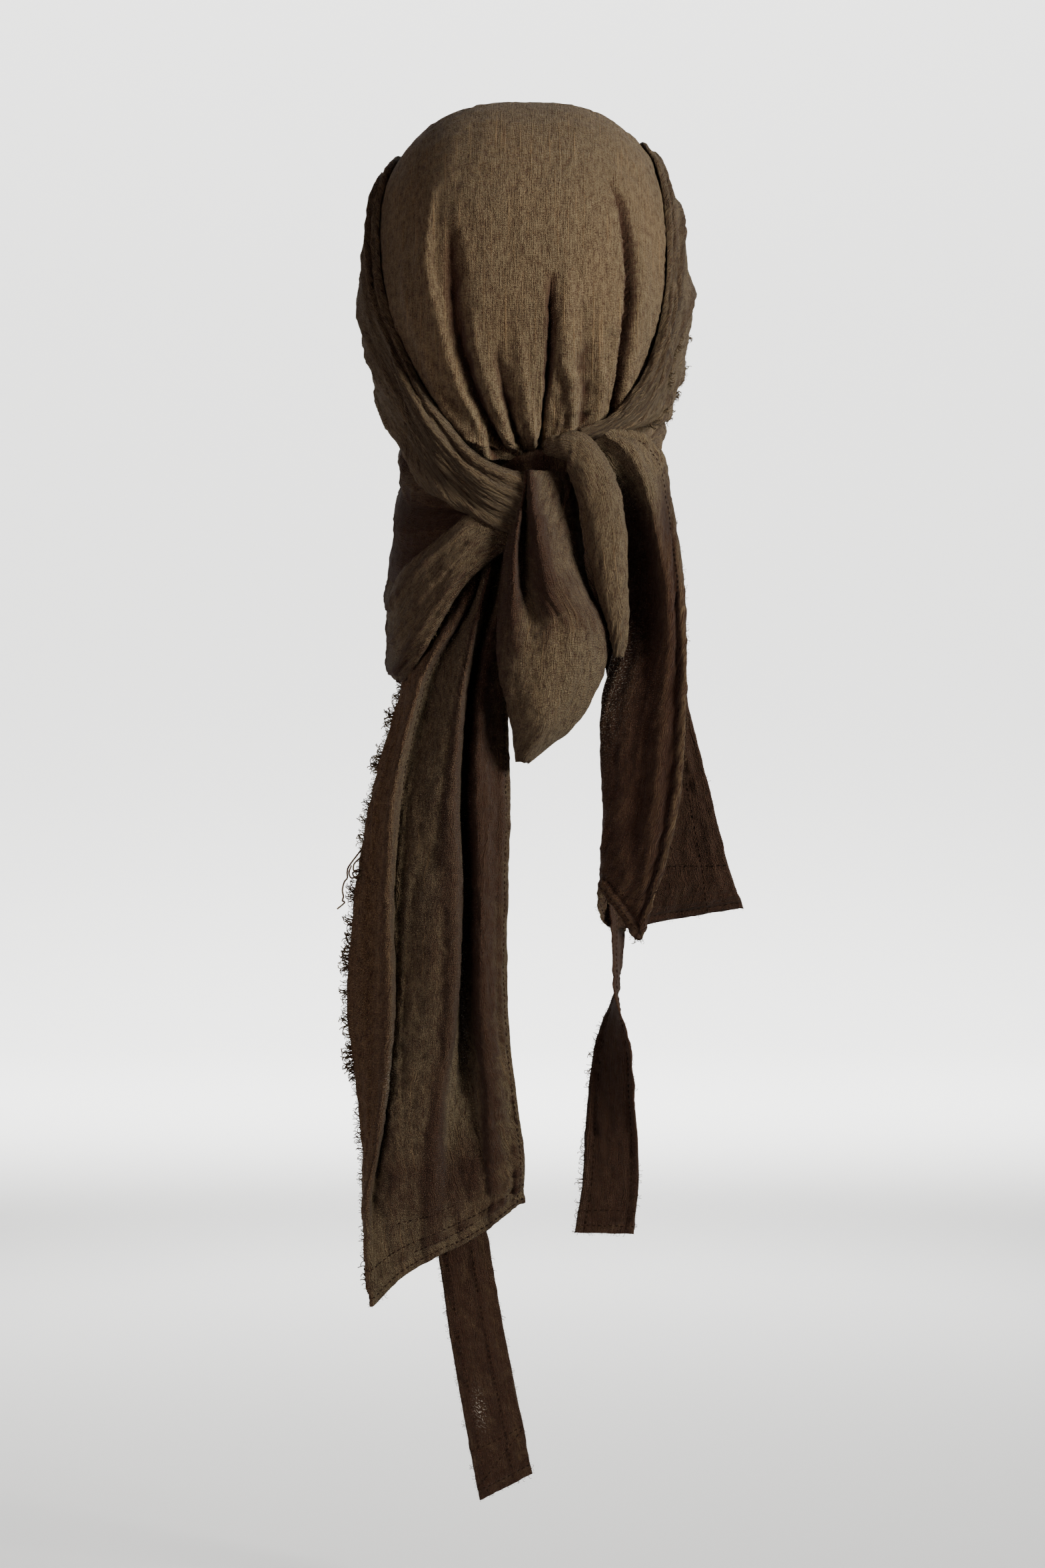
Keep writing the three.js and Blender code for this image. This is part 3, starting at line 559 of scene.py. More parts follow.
# Where the right band's raw edge folds up over its outline, as (across, along) shares
FRAYED_FOLD = ((0.62, 0.52), (0.72, 0.56), (0.84, 0.62), (0.94, 0.68), (0.985, 0.78), (0.985, 0.9))

# Turned hems, as side and width in millimetres
HEMS = {
    "tail_left": (("right", 4.5), ("lower", 8.0)),
    "tail_right": (("left", 5.0), ("lower", 7.0), ("right", 6.5)),
    "tie_left": (("left", 4.0), ("right", 8.0), ("lower", 6.0)),
    "tie_right": (("left", 3.5), ("right", 4.0), ("lower", 6.0)),
}

# The photo's frame, in metres: the camera looks level along -Y
CAMERA_PLACE = (0.00135, 1.85, -0.3406)
CAMERA_LENS = 83.95

# The floor and the wall that it sweeps up into, in metres
FLOOR_LEVEL = -0.74
FLOOR_MIDDLE = 1.5
WALL_REACH = 5.0
WALL_BEND = 1.3
WALL_TOP = 4.5
WALL_TURNS = 72
FLOOR_DARKER = 0.985
WORLD_STRENGTH = 0.006

# Soft lights: name, place, aim, size, share of the key light's power, colour, spread in degrees
SOFT_LIGHTS = (
    ("key", (-1.3, 1.1, 0.26), (0, 0, -0.14), 0.5, 0.078, (1.0, 0.99, 0.93), 54),
    ("fill", (1.8, 1.9, 0.1), (0, 0, -0.3), 1.6, 0.22, (1.0, 0.79, 0.74), 180),
)

# Spots on the backdrop, kept off the wrap: name, place, aim, share of the power, cone in degrees
SPOTS = (
    ("wall light", (0, -1.8, 2.6), (0, -5.0, -0.4), 24.0, 110),
    ("near floor light", (0, -2.4, 1.6), (0, -0.6, FLOOR_LEVEL), 8.0, 36),
    ("floor light", (0, -2.7, 2.4), (0, -2.7, FLOOR_LEVEL), 9.0, 80),
)

# Noises of the gauze: wave lengths across and along the cloth in metres, and detail
THREAD_WANDER = (0.004, 0.012, 2.0)
CRINKLE = (0.0028, 0.0050, 3.0)
GRAIN = (0.0006, 0.0009, 2.0)
RIBS = (0.0010, 0.0055, 1.0)
FLOOR_TONE = (0.5, 0.5, 2.0)

# Spots: such a noise, the level above which they show, and how fast they come in
LONG_SLUBS = ((0.0011, 0.050, 1.0), 0.61, 7.0)
FLECKS = ((0.0009, 0.0016, 1.0), 0.62, 8.0)
PALE_PATCHES = ((0.03, 0.06, 2.0), 0.42, 0.8)
# Painted light: pale specks where light comes through thin places
LIGHT_SPECKS = ((0.0008, 0.0008, 0.0), 0.57, 6.0)
THREAD_TONE = ((0.003, 0.003, 2.0), 0.35, 3.0)

# How far the wander shifts the threads across and along the cloth, in threads
WANDER_SHIFTS = (2.4, 1.7)

# What makes a thread raised, so that it takes the lit colour while the hollows between take the deep one,
# and the height of the weave's relief
RAISED_WEIGHTS = (("weave", 0.35), ("crinkle", 1.0), ("grain", 2.2), ("ribs", 1.3))
RAISED_LEVEL = 1.88
HEIGHT_WEIGHTS = (("crinkle", 1.0), ("weave", 0.35), ("slubs", 0.35), ("grain", 0.7), ("ribs", 0.6))
SLUB_SHARE = 0.5
# Painted shade: how fast the fold mark darkens the colour, the red-brown tint of cloth in shade, and the
# tint and darkness of the shade painted in folds
SHADE_GAIN = 1.1
SHADE_WARM_TINT = (1.08, 0.84, 0.74)
SHADE_TINT = (1.3, 0.9, 0.8)
SHADE_DARK = 0.6
# Distance of the weave's bump, in metres
BUMP_DEPTH = 0.0017


# Curves and noise

def through(values, t):
    """Smooth curve through evenly spaced values, t from 0 to 1."""
    values = np.asarray(values, float)
    last = len(values) - 1
    at = np.clip(np.atleast_1d(t), 0, 1) * last
    i = np.minimum(at.astype(int), last - 1)
    f = (at - i).reshape((-1,) + (1,) * (values.ndim - 1))
    b = values[i]
    c = values[i + 1]
    first = (i == 0).reshape(f.shape)
    final = (i == last - 1).reshape(f.shape)
    a = np.where(first, 2 * b - c, values[np.maximum(i - 1, 0)])
    d = np.where(final, 2 * c - b, values[np.minimum(i + 2, last)])
    cubic = 3 * b - a - 3 * c + d
    square = 2 * a - 5 * b + 4 * c - d
    return b + 0.5 * ((c - a) * f + square * f * f + cubic * f * f * f)


def between(stops, key):
    """Straight runs between (key, value) stops."""
    keys = [stop[0] for stop in stops]
    return np.interp(key, keys, [stop[1] for stop in stops])


def noise(x, y, seed):
    """Smooth noise from -1 to 1 on a lattice of 1 by 1."""
    lattice = np.random.default_rng(seed).random((256, 256)) * 2 - 1
    i = np.floor(x).astype(int)
    j = np.floor(y).astype(int)
    f = x - i
    g = y - j
    f = f * f * (3 - 2 * f)
    g = g * g * (3 - 2 * g)
    low = lattice[i % 256, j % 256] * (1 - f) + lattice[(i + 1) % 256, j % 256] * f
    high = lattice[i % 256, (j + 1) % 256] * (1 - f) + lattice[(i + 1) % 256, (j + 1) % 256] * f
    return low * (1 - g) + high * g


def creases(x, y, seed):
    """Sharp-topped ridges that run along y, about as much above nothing as below it."""
    return (1 - np.abs(noise(x, y, seed))) ** 3 - CREASE_MIDDLE


def ramp(distance, run):
    """0 to 1 over a run."""
    return np.clip(distance / run, 0, 1)


def bump(distance, low, high):
    """1 in the middle, falling away over a width of its own on each side."""
    return np.exp(-((distance / np.where(distance < 0, low, high)) ** 2))


def unit(vectors):
    return vectors / np.maximum(np.linalg.norm(vectors, axis=-1, keepdims=True), 1e-9)


# The hollow and the fan about the hub

def inside_hollow(points):
    x, y, z = np.moveaxis(points - HOLLOW_MIDDLE, -1, 0)
    below = z < 0
    drop = np.abs(z)
    x = x + np.where(below, HOLLOW_LEAN * drop, 0)
    across = (np.abs(x) / HOLLOW_HALF_WIDTH) ** HOLLOW_SQUARENESS
    deep = (np.abs(y) / np.where(y > 0, HOLLOW_BACK, HOLLOW_FRONT)) ** HOLLOW_SQUARENESS_DEEP
    tall = np.where(
        below,
        (drop / HOLLOW_DOWN) ** HOLLOW_SQUARENESS_BELOW,
        (drop / HOLLOW_UP) ** HOLLOW_SQUARENESS,
    )
    return across + deep + tall < 1


def farthest(near, far, halvings, holds):
    """How far from near towards far a test still holds."""
    for _ in range(halvings):
        middle = (near + far) / 2
        within = holds(middle)
        near = np.where(within, middle, near)
        far = np.where(within, far, middle)
    return near


def wall_distance(directions):
    """Distance from the hub to the hollow's wall."""
    shape = directions.shape[:-1]
    return farthest(np.zeros(shape), np.full(shape, 260.0), 26,
                    lambda distance: inside_hollow(HUB + directions * distance[..., None]))


FAN_AXIS = unit(KNOT - HUB)
FAN_UP = unit(np.array([0.0, 0.0, 1.0]) - FAN_AXIS[2] * FAN_AXIS)
FAN_SIDE = np.cross(FAN_UP, FAN_AXIS)


def fan_point(turn, reach, lift):
    """Turn and reach in degrees, as arrays of one shape."""
    turn, reach = np.radians(turn)[..., None], np.radians(reach)[..., None]
    around = np.cos(turn) * FAN_UP + np.sin(turn) * FAN_SIDE
    direction = np.cos(reach) * FAN_AXIS + np.sin(reach) * around
    return HUB + direction * (wall_distance(direction) + lift)[..., None]


def from_hub(points):
    return unit(points - HUB)


def laid_over(points, lift):
    """Points moved out to at least a lift above the hollow's wall."""
    out = points - HUB
    distance = np.linalg.norm(out, axis=-1)
    out = unit(out)
    return HUB + out * np.maximum(distance, wall_distance(out) + lift)[..., None]


def front_edge_reach(turn):
    """Reach at which the cap ends, on a plane through the brow and the temples."""
    slope = (TEMPLE[0] - BROW[0]) / (TEMPLE[1] - BROW[1])

    def behind(reach):
        point = fan_point(turn, reach, np.zeros(turn.shape))
        return point[..., 1] - (BROW[0] + slope * (point[..., 2] - BROW[1])) > 0
    return farthest(np.full(turn.shape, 90.0), np.full(turn.shape, 178.0), 22, behind)


# Surfaces: each takes u and v from 0 to 1 and gives a grid of points, a row for each v

def cap_relief(turn, reach):
    """Height of the cap's folds and gathers, which end at the bands and run into the knot."""
    per_degree = np.radians(np.sin(np.radians(reach)) * FAN_RADIUS)
    lift = np.zeros(turn.shape)
    for height, left, right, stops in CAP_FOLDS.values():
        first, last = stops[0][0], stops[-1][0]
        tip = ramp(last + TIP_PAST - reach, TIP_RUN) ** TIP_ROUND
        fade = tip * ramp(reach - first + ROOT_BEFORE, ROOT_RUN)
        slim = TIP_SLIM + (1 - TIP_SLIM) * tip
        away = (turn - between(stops, reach)) * per_degree
        lift = lift + height * fade * bump(away, left * slim, right * slim)
    wander = GATHER_WANDER * noise(turn / GATHER_WANDERS[0], reach / GATHER_WANDERS[1], 5)
    gathers = GATHER_HEIGHT * creases(turn / GATHERS[0] + wander, reach / GATHERS[1], 7)
    gathers = gathers * ramp(GATHERS_TO - reach, GATHERS_OUT) * ramp(reach - GATHERS_FROM, GATHERS_IN)
    lift = lift + gathers
    lift = lift + CAP_SWELL * ramp(SWELL_TO - reach, SWELL_OUT)
    below_left = turn - between(BAND_EDGE_LEFT, reach)
    below_right = between(BAND_EDGE_RIGHT, reach) - turn
    uncovered = ramp(np.minimum(below_left, below_right), BESIDE_BAND)
    return lift * uncovered - CAP_PIT * ramp(PIT_TO - reach, PIT_OUT) ** 2


def cap_surface(u, v):
    turn, share = np.meshgrid(-CAP_TURN_LIMIT + 2 * CAP_TURN_LIMIT * u, v)
    edge = front_edge_reach(turn[0])
    reach = CAP_REACH_START + (edge[None, :] - CAP_REACH_START) * share
    return fan_point(turn, reach, CAP_LIFT + cap_relief(turn, reach))


def strip_surface(rows, bow):
    """A cloth between an upper and a lower edge, bowed out in the middle."""
    def surface(u, v):
        upper = through(rows["upper"], v)[:, None, :]
        lower = through(rows["lower"], v)[:, None, :]
        share = u[None, :, None]
        points = upper * (1 - share) + lower * share
        return points + from_hub(points) * (4 * share * (1 - share) * bow)
    return surface


def from_back(points):
    return np.array([0.0, 1.0, 0.0])


# How far a pleated cloth's edges bend in, in millimetres
EDGE_DIP = {from_hub: 2.4, from_back: 0.0}


def pleated(surface, folds, fine, seed, outwards=from_hub):
    """A surface with pleats along it and fine creases between them."""
    def pleats(u, v):
        points = surface(u, v)
        width = np.linalg.norm(points[:, -1] - points[:, 0], axis=-1)[:, None]
        across, along = np.meshgrid(u, v)
        flat = np.clip(width / PLEAT_FULL_WIDTH, PLEAT_FLATTEST, 1)
        lift = np.zeros(across.shape)
        fade = np.clip((along - PLEAT_FADE_FROM) / PLEAT_FADE_RUN, 0, PLEAT_FADE)
        fade = 1 - (outwards is from_back) * fade
        for k, (start, end, height, above, below) in enumerate(folds):
            sway = PLEAT_SWAY * noise(along * PLEAT_SWAYS, across * 0 + k, seed)
            place = start + (end - start) * along + sway
            shape = bump((across - place) * width, above * flat, below * flat)
            lift += fade * height * flat * shape
        lift += fine * flat * creases(
            across * width / (FINE_PITCH * flat), along * FINE_BREAKS, seed + 1)
        to_edge = np.minimum(across, 1 - across) * width
        lift -= EDGE_DIP[outwards] * np.exp(-((to_edge / EDGE_BEND) ** 2))
        return points + outwards(points) * lift[..., None]
    return pleats


def band_surface(rows):
    strip = strip_surface(rows, 0)
    return lambda u, v: laid_over(strip(u, v), BAND_LIFT)


def roll_surface(u, v):
    centre = through(ROLL["centre"], v)
    after = through(ROLL["centre"], np.minimum(v + 0.01, 1))
    before = through(ROLL["centre"], np.maximum(v - 0.01, 0))
    run = unit(after - before)
    out = unit(np.array([0.0, 1.0, 0.0]) - run[:, 1:2] * run)
    side = np.cross(run, out)
    half = through(ROLL["half"], v)[:, None, None]
    angle = ((2 * u - 1) * ROLL_WRAP)[None, :, None]
    sideways = side[:, None] * half * np.sin(angle)
    return centre[:, None] + sideways + out[:, None] * half * (np.cos(angle) - 1)


def folded_surface(lines):
    """A cloth through lines that run down it."""
    grid = np.stack(list(lines.values()), axis=0)

    def surface(u, v):
        down = np.stack([through(line, v) for line in grid], axis=0)
        return np.moveaxis(through(down, u), 0, 1)
    return surface


def tie_surface(rows):
    """A narrow tie about its middle line, turned and dropped level by level."""
    def surface(u, v):
        level = {name: through(values, v)[:, None] for name, values in rows.items()}
        turn = np.radians(level["turn"])
        offset = (0.5 - u[None, :]) * level["width"]
        x = level["x"] + offset * np.cos(turn)
        y = level["y"] + offset * np.sin(turn)
        z = level["z"] - level["drop"] * offset * 2 / level["width"]
        return np.stack([x, y, z], axis=-1)
    return surface


def bunch_surface(u, v):
    angle, height = np.meshgrid((2 * u - 1) * BUNCH_WRAP, 1 - 2 * v)
    ring = np.sqrt(np.clip(1 - 0.96 * height ** 2, 0, 1))
    ripple = 1 + BUNCH_RIPPLE * np.cos(BUNCH_RIPPLES * angle + 2 * height) * ring
    x = -np.sin(angle) * ring * ripple
    y = np.cos(angle) * ring * ripple
    return BUNCH_CENTRE + BUNCH_HALF * np.stack([x, y, height], axis=-1)


# Relief that every cloth has: long soft creases and the crinkle of the weave

def grid_normals(grid):
    return unit(np.cross(np.gradient(grid, axis=1), np.gradient(grid, axis=0)))


def grid_runs(grid):
    """How far each point is across and along the cloth, in millimetres."""
    across = np.linalg.norm(np.diff(grid, axis=1), axis=-1)
    across = np.concatenate([np.zeros((len(grid), 1)), np.cumsum(across, axis=1)], axis=1)
    across = across - across[:, -1:] / 2
    along = np.linalg.norm(np.diff(grid, axis=0), axis=-1)
    along = np.concatenate([np.zeros((1, grid.shape[1])), np.cumsum(along, axis=0)], axis=0)
    return across, along


def cap_runs(grid):
    """The cap's threads run straight back over the head, so they are measured round it."""
    x, y, z = np.moveaxis(grid, -1, 0)
    across = CAP_ACROSS * np.arcsin(np.clip(x / CAP_WRAP, -1, 1))
    along = CAP_ALONG * np.arctan2(y, z - HOLLOW_MIDDLE[2])
    return across, along


def painted_fold_shade(grid):
    """A mask of painted shade, 0 on a cloth's ridges to 1 down in its folds, from how far it lies
    under its surroundings and how steep it is."""
    smooth = grid
    span = 2 * FOLD_REACH + 1
    for axis in (0, 1):
        for _ in range(3):
            ends = [np.repeat(smooth.take([end], axis), FOLD_REACH, axis) for end in (0, -1)]
            total = np.cumsum(np.concatenate([ends[0], smooth, ends[1]], axis), axis=axis)
            total = np.concatenate([np.zeros_like(total.take([0], axis)), total], axis)
            last = total.take(range(span, total.shape[axis]), axis)
            smooth = (last - total.take(range(total.shape[axis] - span), axis)) / span
    level = grid_normals(smooth)
    depth = ((smooth - grid) * level).sum(axis=-1)
    steep = np.clip(1 - (grid_normals(grid) * level).sum(axis=-1) - FOLD_FLAT, 0, 1)
    fold = np.clip(FOLD_LEVEL + depth / FOLD_DEPTH + FOLD_STEEP * steep, 0, 1)
    beside = FOLD_SPREAD * np.maximum(fold[:, :-2], fold[:, 2:])
    fold[:, 1:-1] = np.maximum(fold[:, 1:-1], beside)
    return fold


def crinkled(grid, runs, crease, crinkle, seed):
    """A cloth with its long soft creases, its crinkle, and creases of the weft in places."""
    across, along = runs
    relief = crease * creases(across / LONG_CREASES[0], along / LONG_CREASES[1], seed)
    sway = noise(across / FINE_SWAY[0], along / FINE_SWAY[1], seed + 3)
    relief += crinkle * noise(across / FINE_CRINKLE[0] + sway, along / FINE_CRINKLE[1], seed + 1)
    short = noise(across / SHORT_CRINKLE[0] + 9, along / SHORT_CRINKLE[1], seed + 2)
    relief += crinkle * SHORT_HEIGHT * short
    sway = noise(along / WEFT_SWAY[1], across / WEFT_SWAY[0], seed + 5)
    weft = creases(across / WEFT_CREASES[0] + sway, along / WEFT_CREASES[1], seed + 4)
    patches = noise(across / WEFT_PATCHES[0], along / WEFT_PATCHES[1], seed + 6)
    relief += crinkle * WEFT_HEIGHT * weft * np.clip(0.5 + patches, 0, 1)
    return grid + grid_normals(grid) * relief[..., None]


def cross_creased(grid, name, seed):
    if name not in CROSS_CREASES:
        return grid
    place, share_reach, height, pitch, slope = CROSS_CREASES[name]
    across, along = grid_runs(grid)
    share = np.linspace(0, 1, grid.shape[1])[None, :]
    wander = 0.5 * noise(across / 12, along / 16, seed + 8)
    lift = creases((along + slope * across) / pitch + wander, across / 18, seed + 9)
    lift = height * lift * bump(share - place, share_reach, share_reach)
    return grid + grid_normals(grid) * lift[..., None]


def side_distance(grid, side):
    """Distance of each point of a cloth from one of its sides, in millimetres."""
    across, along = grid_runs(grid)
    if side == "left":
        return across - across[:, :1]
    if side == "right":
        return across[:, -1:] - across
    return along[-1:] - along


def hemmed(grid, hems, seed):
    """Lifts the doubled cloth of each hem and draws in its row of stitches, with small puckers."""
    for side, width in hems:
        distance = side_distance(grid, side)
        across, along = grid_runs(grid)
        run = across if side == "lower" else along
        past = distance - width
        lift = HEM_LIFT / (1 + np.exp(past / HEM_STEP))
        lift -= HEM_SINK * bump(past, HEM_GROOVE, HEM_GROOVE)
        puckers = noise(run / PUCKER_LENGTH, run * 0 + width, seed)
        puckers = puckers * bump(past, PUCKER_REACH, PUCKER_REACH)
        grid = grid + grid_normals(grid) * (lift + HEM_PUCKER * puckers)[..., None]
    return grid


# Sizes and colours that a user would change

def length_prop(name, description, default):
    return bpy.props.FloatProperty(name=name, description=description, default=default, unit="LENGTH")


def colour_prop(name, description, default):
    return bpy.props.FloatVectorProperty(
        name=name, description=description, default=default, subtype="COLOR")


class WrapSettings(bpy.types.PropertyGroup):
    wall: length_prop("Cloth wall", "Thickness of the gauze with its crinkle", 0.0009)
    crinkle: length_prop("Crinkle", "Height of the weave's crinkle", 0.0004)
    crease: length_prop("Crease", "Height of the long soft creases", 0.0006)
    mesh_step: length_prop("Mesh step", "Distance between the cloth mesh's points", 0.0013)
    stitch_pitch: length_prop("Stitch pitch", "Distance from one stitch to the next", 0.0027)
    stitch_width: length_prop("Stitch width", "Thickness of the sewing thread", 0.0007)
    thread_pitch: length_prop("Thread pitch", "Distance between two threads", 0.0008)
    # Painted light and shade at the scale of the weave: raised threads take the lit colour, the hollows
    # between them the deep one
    lit: colour_prop("Lit thread", "Colour of the raised threads", (0.121, 0.092, 0.053))
    deep: colour_prop("Deep thread", "Colour between the threads", (0.036, 0.016, 0.0085))
    slub: colour_prop("Slub", "Colour of the thick pale threads", (0.185, 0.115, 0.055))
    # Painted light: the pale colour of light seen through thin places
    through: colour_prop("Light through", "Colour of the light specks in thin places", (0.60, 0.54, 0.46))
    floor: colour_prop("Floor", "Colour of the floor", (0.66, 0.66, 0.65))
    key_power: bpy.props.FloatProperty(
        name="Key light", description="Power of the soft main light", default=85.0, unit="POWER")


# Materials

def give(tree, socket, value):
    """Links a socket to where its value comes from, or sets it."""
    if isinstance(value, bpy.types.NodeSocket):
        tree.links.new(value, socket)
    else:
        socket.default_value = value


def add_node(tree, kind, values=None, **options):
    """A new node's first output, with its options set and its named inputs linked or set."""
    node = tree.nodes.new(kind)
    for option, value in options.items():
        setattr(node, option, value)
    for name, value in (values or {}).items():
        give(tree, node.inputs[name], value)
    return node.outputs[0]


def new_group(name, kind, inputs, outputs):
    """A node group, what goes into it and what comes out, from the names and kinds of both."""
    group = bpy.data.node_groups.new(name, kind)
    for way, sockets in (("OUTPUT", outputs), ("INPUT", inputs)):
        for label, socket in sockets.items():
            group.interface.new_socket(name=label, in_out=way, socket_type="NodeSocket" + socket)
    return group, group.nodes.new("NodeGroupInput").outputs, group.nodes.new("NodeGroupOutput").inputs


def math_node(tree, operation, *values, clamp=False):
    result = add_node(tree, "ShaderNodeMath", operation=operation, use_clamp=clamp)
    for socket, value in zip(result.node.inputs, values):
        give(tree, socket, value)
    return result


def weighted_sum(tree, parts, weights):
    """The sum of named parts, each times its weight."""
    shares = [math_node(tree, "MULTIPLY", parts[name], weight) for name, weight in weights]
    total = shares[0]
    for share in shares[1:]:
        total = math_node(tree, "ADD", total, share)
    return total


def threshold(tree, value, level, gain):
    """0 up to a level, and rising from there to 1."""
    return math_node(tree, "MULTIPLY", math_node(tree, "SUBTRACT", value, level), gain, clamp=True)


def mix_colour(tree, factor, a, b):
    node = add_node(tree, "ShaderNodeMix", data_type="RGBA").node
    sockets = {socket.identifier: socket for socket in node.inputs}
    for name, value in (("Factor_Float", factor), ("A_Color", a), ("B_Color", b)):
        give(tree, sockets[name], value)
    return next(socket for socket in node.outputs if socket.identifier == "Result_Color")


def stretched_noise(tree, vector, across, along, detail):
    """Noise whose features are across wide and along long, in the units of the vector."""
    scale = (1 / across, 1 / along, 1)
    place = add_node(tree, "ShaderNodeMapping", {"Scale": scale, "Vector": vector})
    values = {"Scale": 1.0, "Detail": detail, "Vector": place}
    return add_node(tree, "ShaderNodeTexNoise", values).node.outputs["Fac"]


def spots(tree, vector, sizes, level, gain):
    return threshold(tree, stretched_noise(tree, vector, *sizes), level, gain)


def attribute_value(tree, name):
    return add_node(tree, "ShaderNodeAttribute", attribute_name=name).node.outputs["Fac"]


def gauze_group():
    """Threads, slubs and crinkle of the gauze from a vector in metres on the cloth."""
    group, entry, leave = new_group(
        "gauze threads", "ShaderNodeTree", {"Place": "Vector", "Thread Pitch": "Float"},
        {"Raised": "Float", "Slub": "Float", "Height": "Float"})
    place = entry["Place"]
    wander = stretched_noise(group, place, *THREAD_WANDER)
    runs = add_node(group, "ShaderNodeSeparateXYZ", {"Vector": place}).node.outputs
    waves = []
    for run, shift in zip(runs, WANDER_SHIFTS):
        turns = math_node(group, "DIVIDE", run, entry["Thread Pitch"])
        turns = math_node(group, "ADD", turns, math_node(group, "MULTIPLY", wander, shift))
        waves.append(math_node(group, "SINE", math_node(group, "MULTIPLY", turns, 2 * math.pi)))
    long_slubs, flecks = (spots(group, place, *row) for row in (LONG_SLUBS, FLECKS))
    slubs = math_node(group, "MAXIMUM", long_slubs, flecks)
    parts = {
        "weave": math_node(group, "MULTIPLY_ADD", math_node(group, "MAXIMUM", *waves), 0.5, 0.5),
        "crinkle": stretched_noise(group, place, *CRINKLE),
        "grain": stretched_noise(group, place, *GRAIN),
        "ribs": stretched_noise(group, place, *RIBS),
        "slubs": slubs,
    }
    raised = weighted_sum(group, parts, RAISED_WEIGHTS)
    raised = math_node(group, "SUBTRACT", raised, RAISED_LEVEL, clamp=True)
    height = weighted_sum(group, parts, HEIGHT_WEIGHTS)
    for name, value in (("Raised", raised), ("Slub", slubs), ("Height", height)):
        give(group, leave[name], value)
    return group


def tinted(colour, tint=(1, 1, 1), level=1.0):
    return (*[value * share * level for value, share in zip(colour, tint)], 1)


def new_material(name, values):
    """A material, its node tree, and its shader's inputs with the given values."""
    material = bpy.data.materials.new(name)
    material.use_nodes = True
    shader = material.node_tree.nodes["Principled BSDF"].inputs
    for label, value in values.items():
        shader[label].default_value = value
    return material, material.node_tree, shader


def gauze_material(name, settings):
    """Matt open weave from olive to the red-brown of painted shade by its shade_warmth attribute, with
    painted shade down in its folds.
    """
    material, tree, shader = new_material(name, {
        "Roughness": 0.95, "Specular IOR Level": 0.12, "Sheen Weight": 0.03, "Sheen Roughness": 0.6})
    place = add_node(tree, "ShaderNodeUVMap", uv_map="cloth")
    threads = add_node(tree, "ShaderNodeGroup", {"Thread Pitch": settings.thread_pitch, "Place": place},
                       node_tree=gauze_group()).node.outputs
    # Painted shade: cloth that lies in shade is tinted red-brown by its shade_warmth attribute
    shade_warmth = attribute_value(tree, "shade_warmth")
    lit, deep = (mix_colour(tree, shade_warmth, tinted(colour), tinted(colour, SHADE_WARM_TINT))
                 for colour in (settings.lit, settings.deep))
    slub = tinted(settings.slub)
    # Painted light and shade of the weave: raised threads lit, the hollows between them deep
    colour = mix_colour(tree, threads["Raised"], deep, lit)
    patch = spots(tree, place, *PALE_PATCHES)
    colour = mix_colour(tree, patch, colour, mix_colour(tree, threads["Raised"], deep, slub))
    colour = mix_colour(tree, math_node(tree, "MULTIPLY", threads["Slub"], SLUB_SHARE), colour, slub)
    # Painted shade: in folds, in the shade of other pieces and in shade patches, the colour goes towards a
    # dark red-brown
    shade = threshold(tree, attribute_value(tree, "fold"), FOLD_LEVEL, SHADE_GAIN)
    colour = mix_colour(tree, shade, colour, tinted(settings.deep, SHADE_TINT, SHADE_DARK))
    # Painted light: pale specks in thin places stand for light coming through the weave
    specks = spots(tree, place, *LIGHT_SPECKS)
    specks = math_node(tree, "MULTIPLY", specks, attribute_value(tree, "thin"))
    give(tree, shader["Base Color"], mix_colour(tree, specks, colour, tinted(settings.through)))
    give(tree, shader["Normal"], add_node(tree, "ShaderNodeBump", {
        "Strength": attribute_value(tree, "rough"), "Distance": BUMP_DEPTH, "Height": threads["Height"]}))
    return material


def thread_material(name, dark, light):
    """Matt thread, a little uneven in colour along its length."""
    material, tree, shader = new_material(name, {"Roughness": 0.9, "Specular IOR Level": 0.15})
    place = add_node(tree, "ShaderNodeTexCoord").node.outputs["Object"]
    tone = spots(tree, place, *THREAD_TONE)
    give(tree, shader["Base Color"], mix_colour(tree, tone, dark, light))
    return material


def material_for(settings, name):
    found = bpy.data.materials.get(name)
    if found:
        return found
    if name == "dark thread":
        return thread_material(name, tinted(settings.deep, level=0.25), tinted(settings.deep, level=0.8))
    if name == "loose fibre":
        return thread_material(name, tinted(settings.deep), tinted(settings.lit))
    return gauze_material(name, settings)


# Building pieces

def plain(piece):
    """Turns a piece with modifiers into a plain mesh."""
    depsgraph = bpy.context.evaluated_depsgraph_get()
    mesh = bpy.data.meshes.new_from_object(
        piece.evaluated_get(depsgraph), preserve_all_data_layers=True, depsgraph=depsgraph)
    piece.modifiers.clear()
    piece.data = mesh
    return piece


def new_piece(name, data):
    piece = bpy.data.objects.new(name, data)
    bpy.context.scene.collection.objects.link(piece)
    return piece


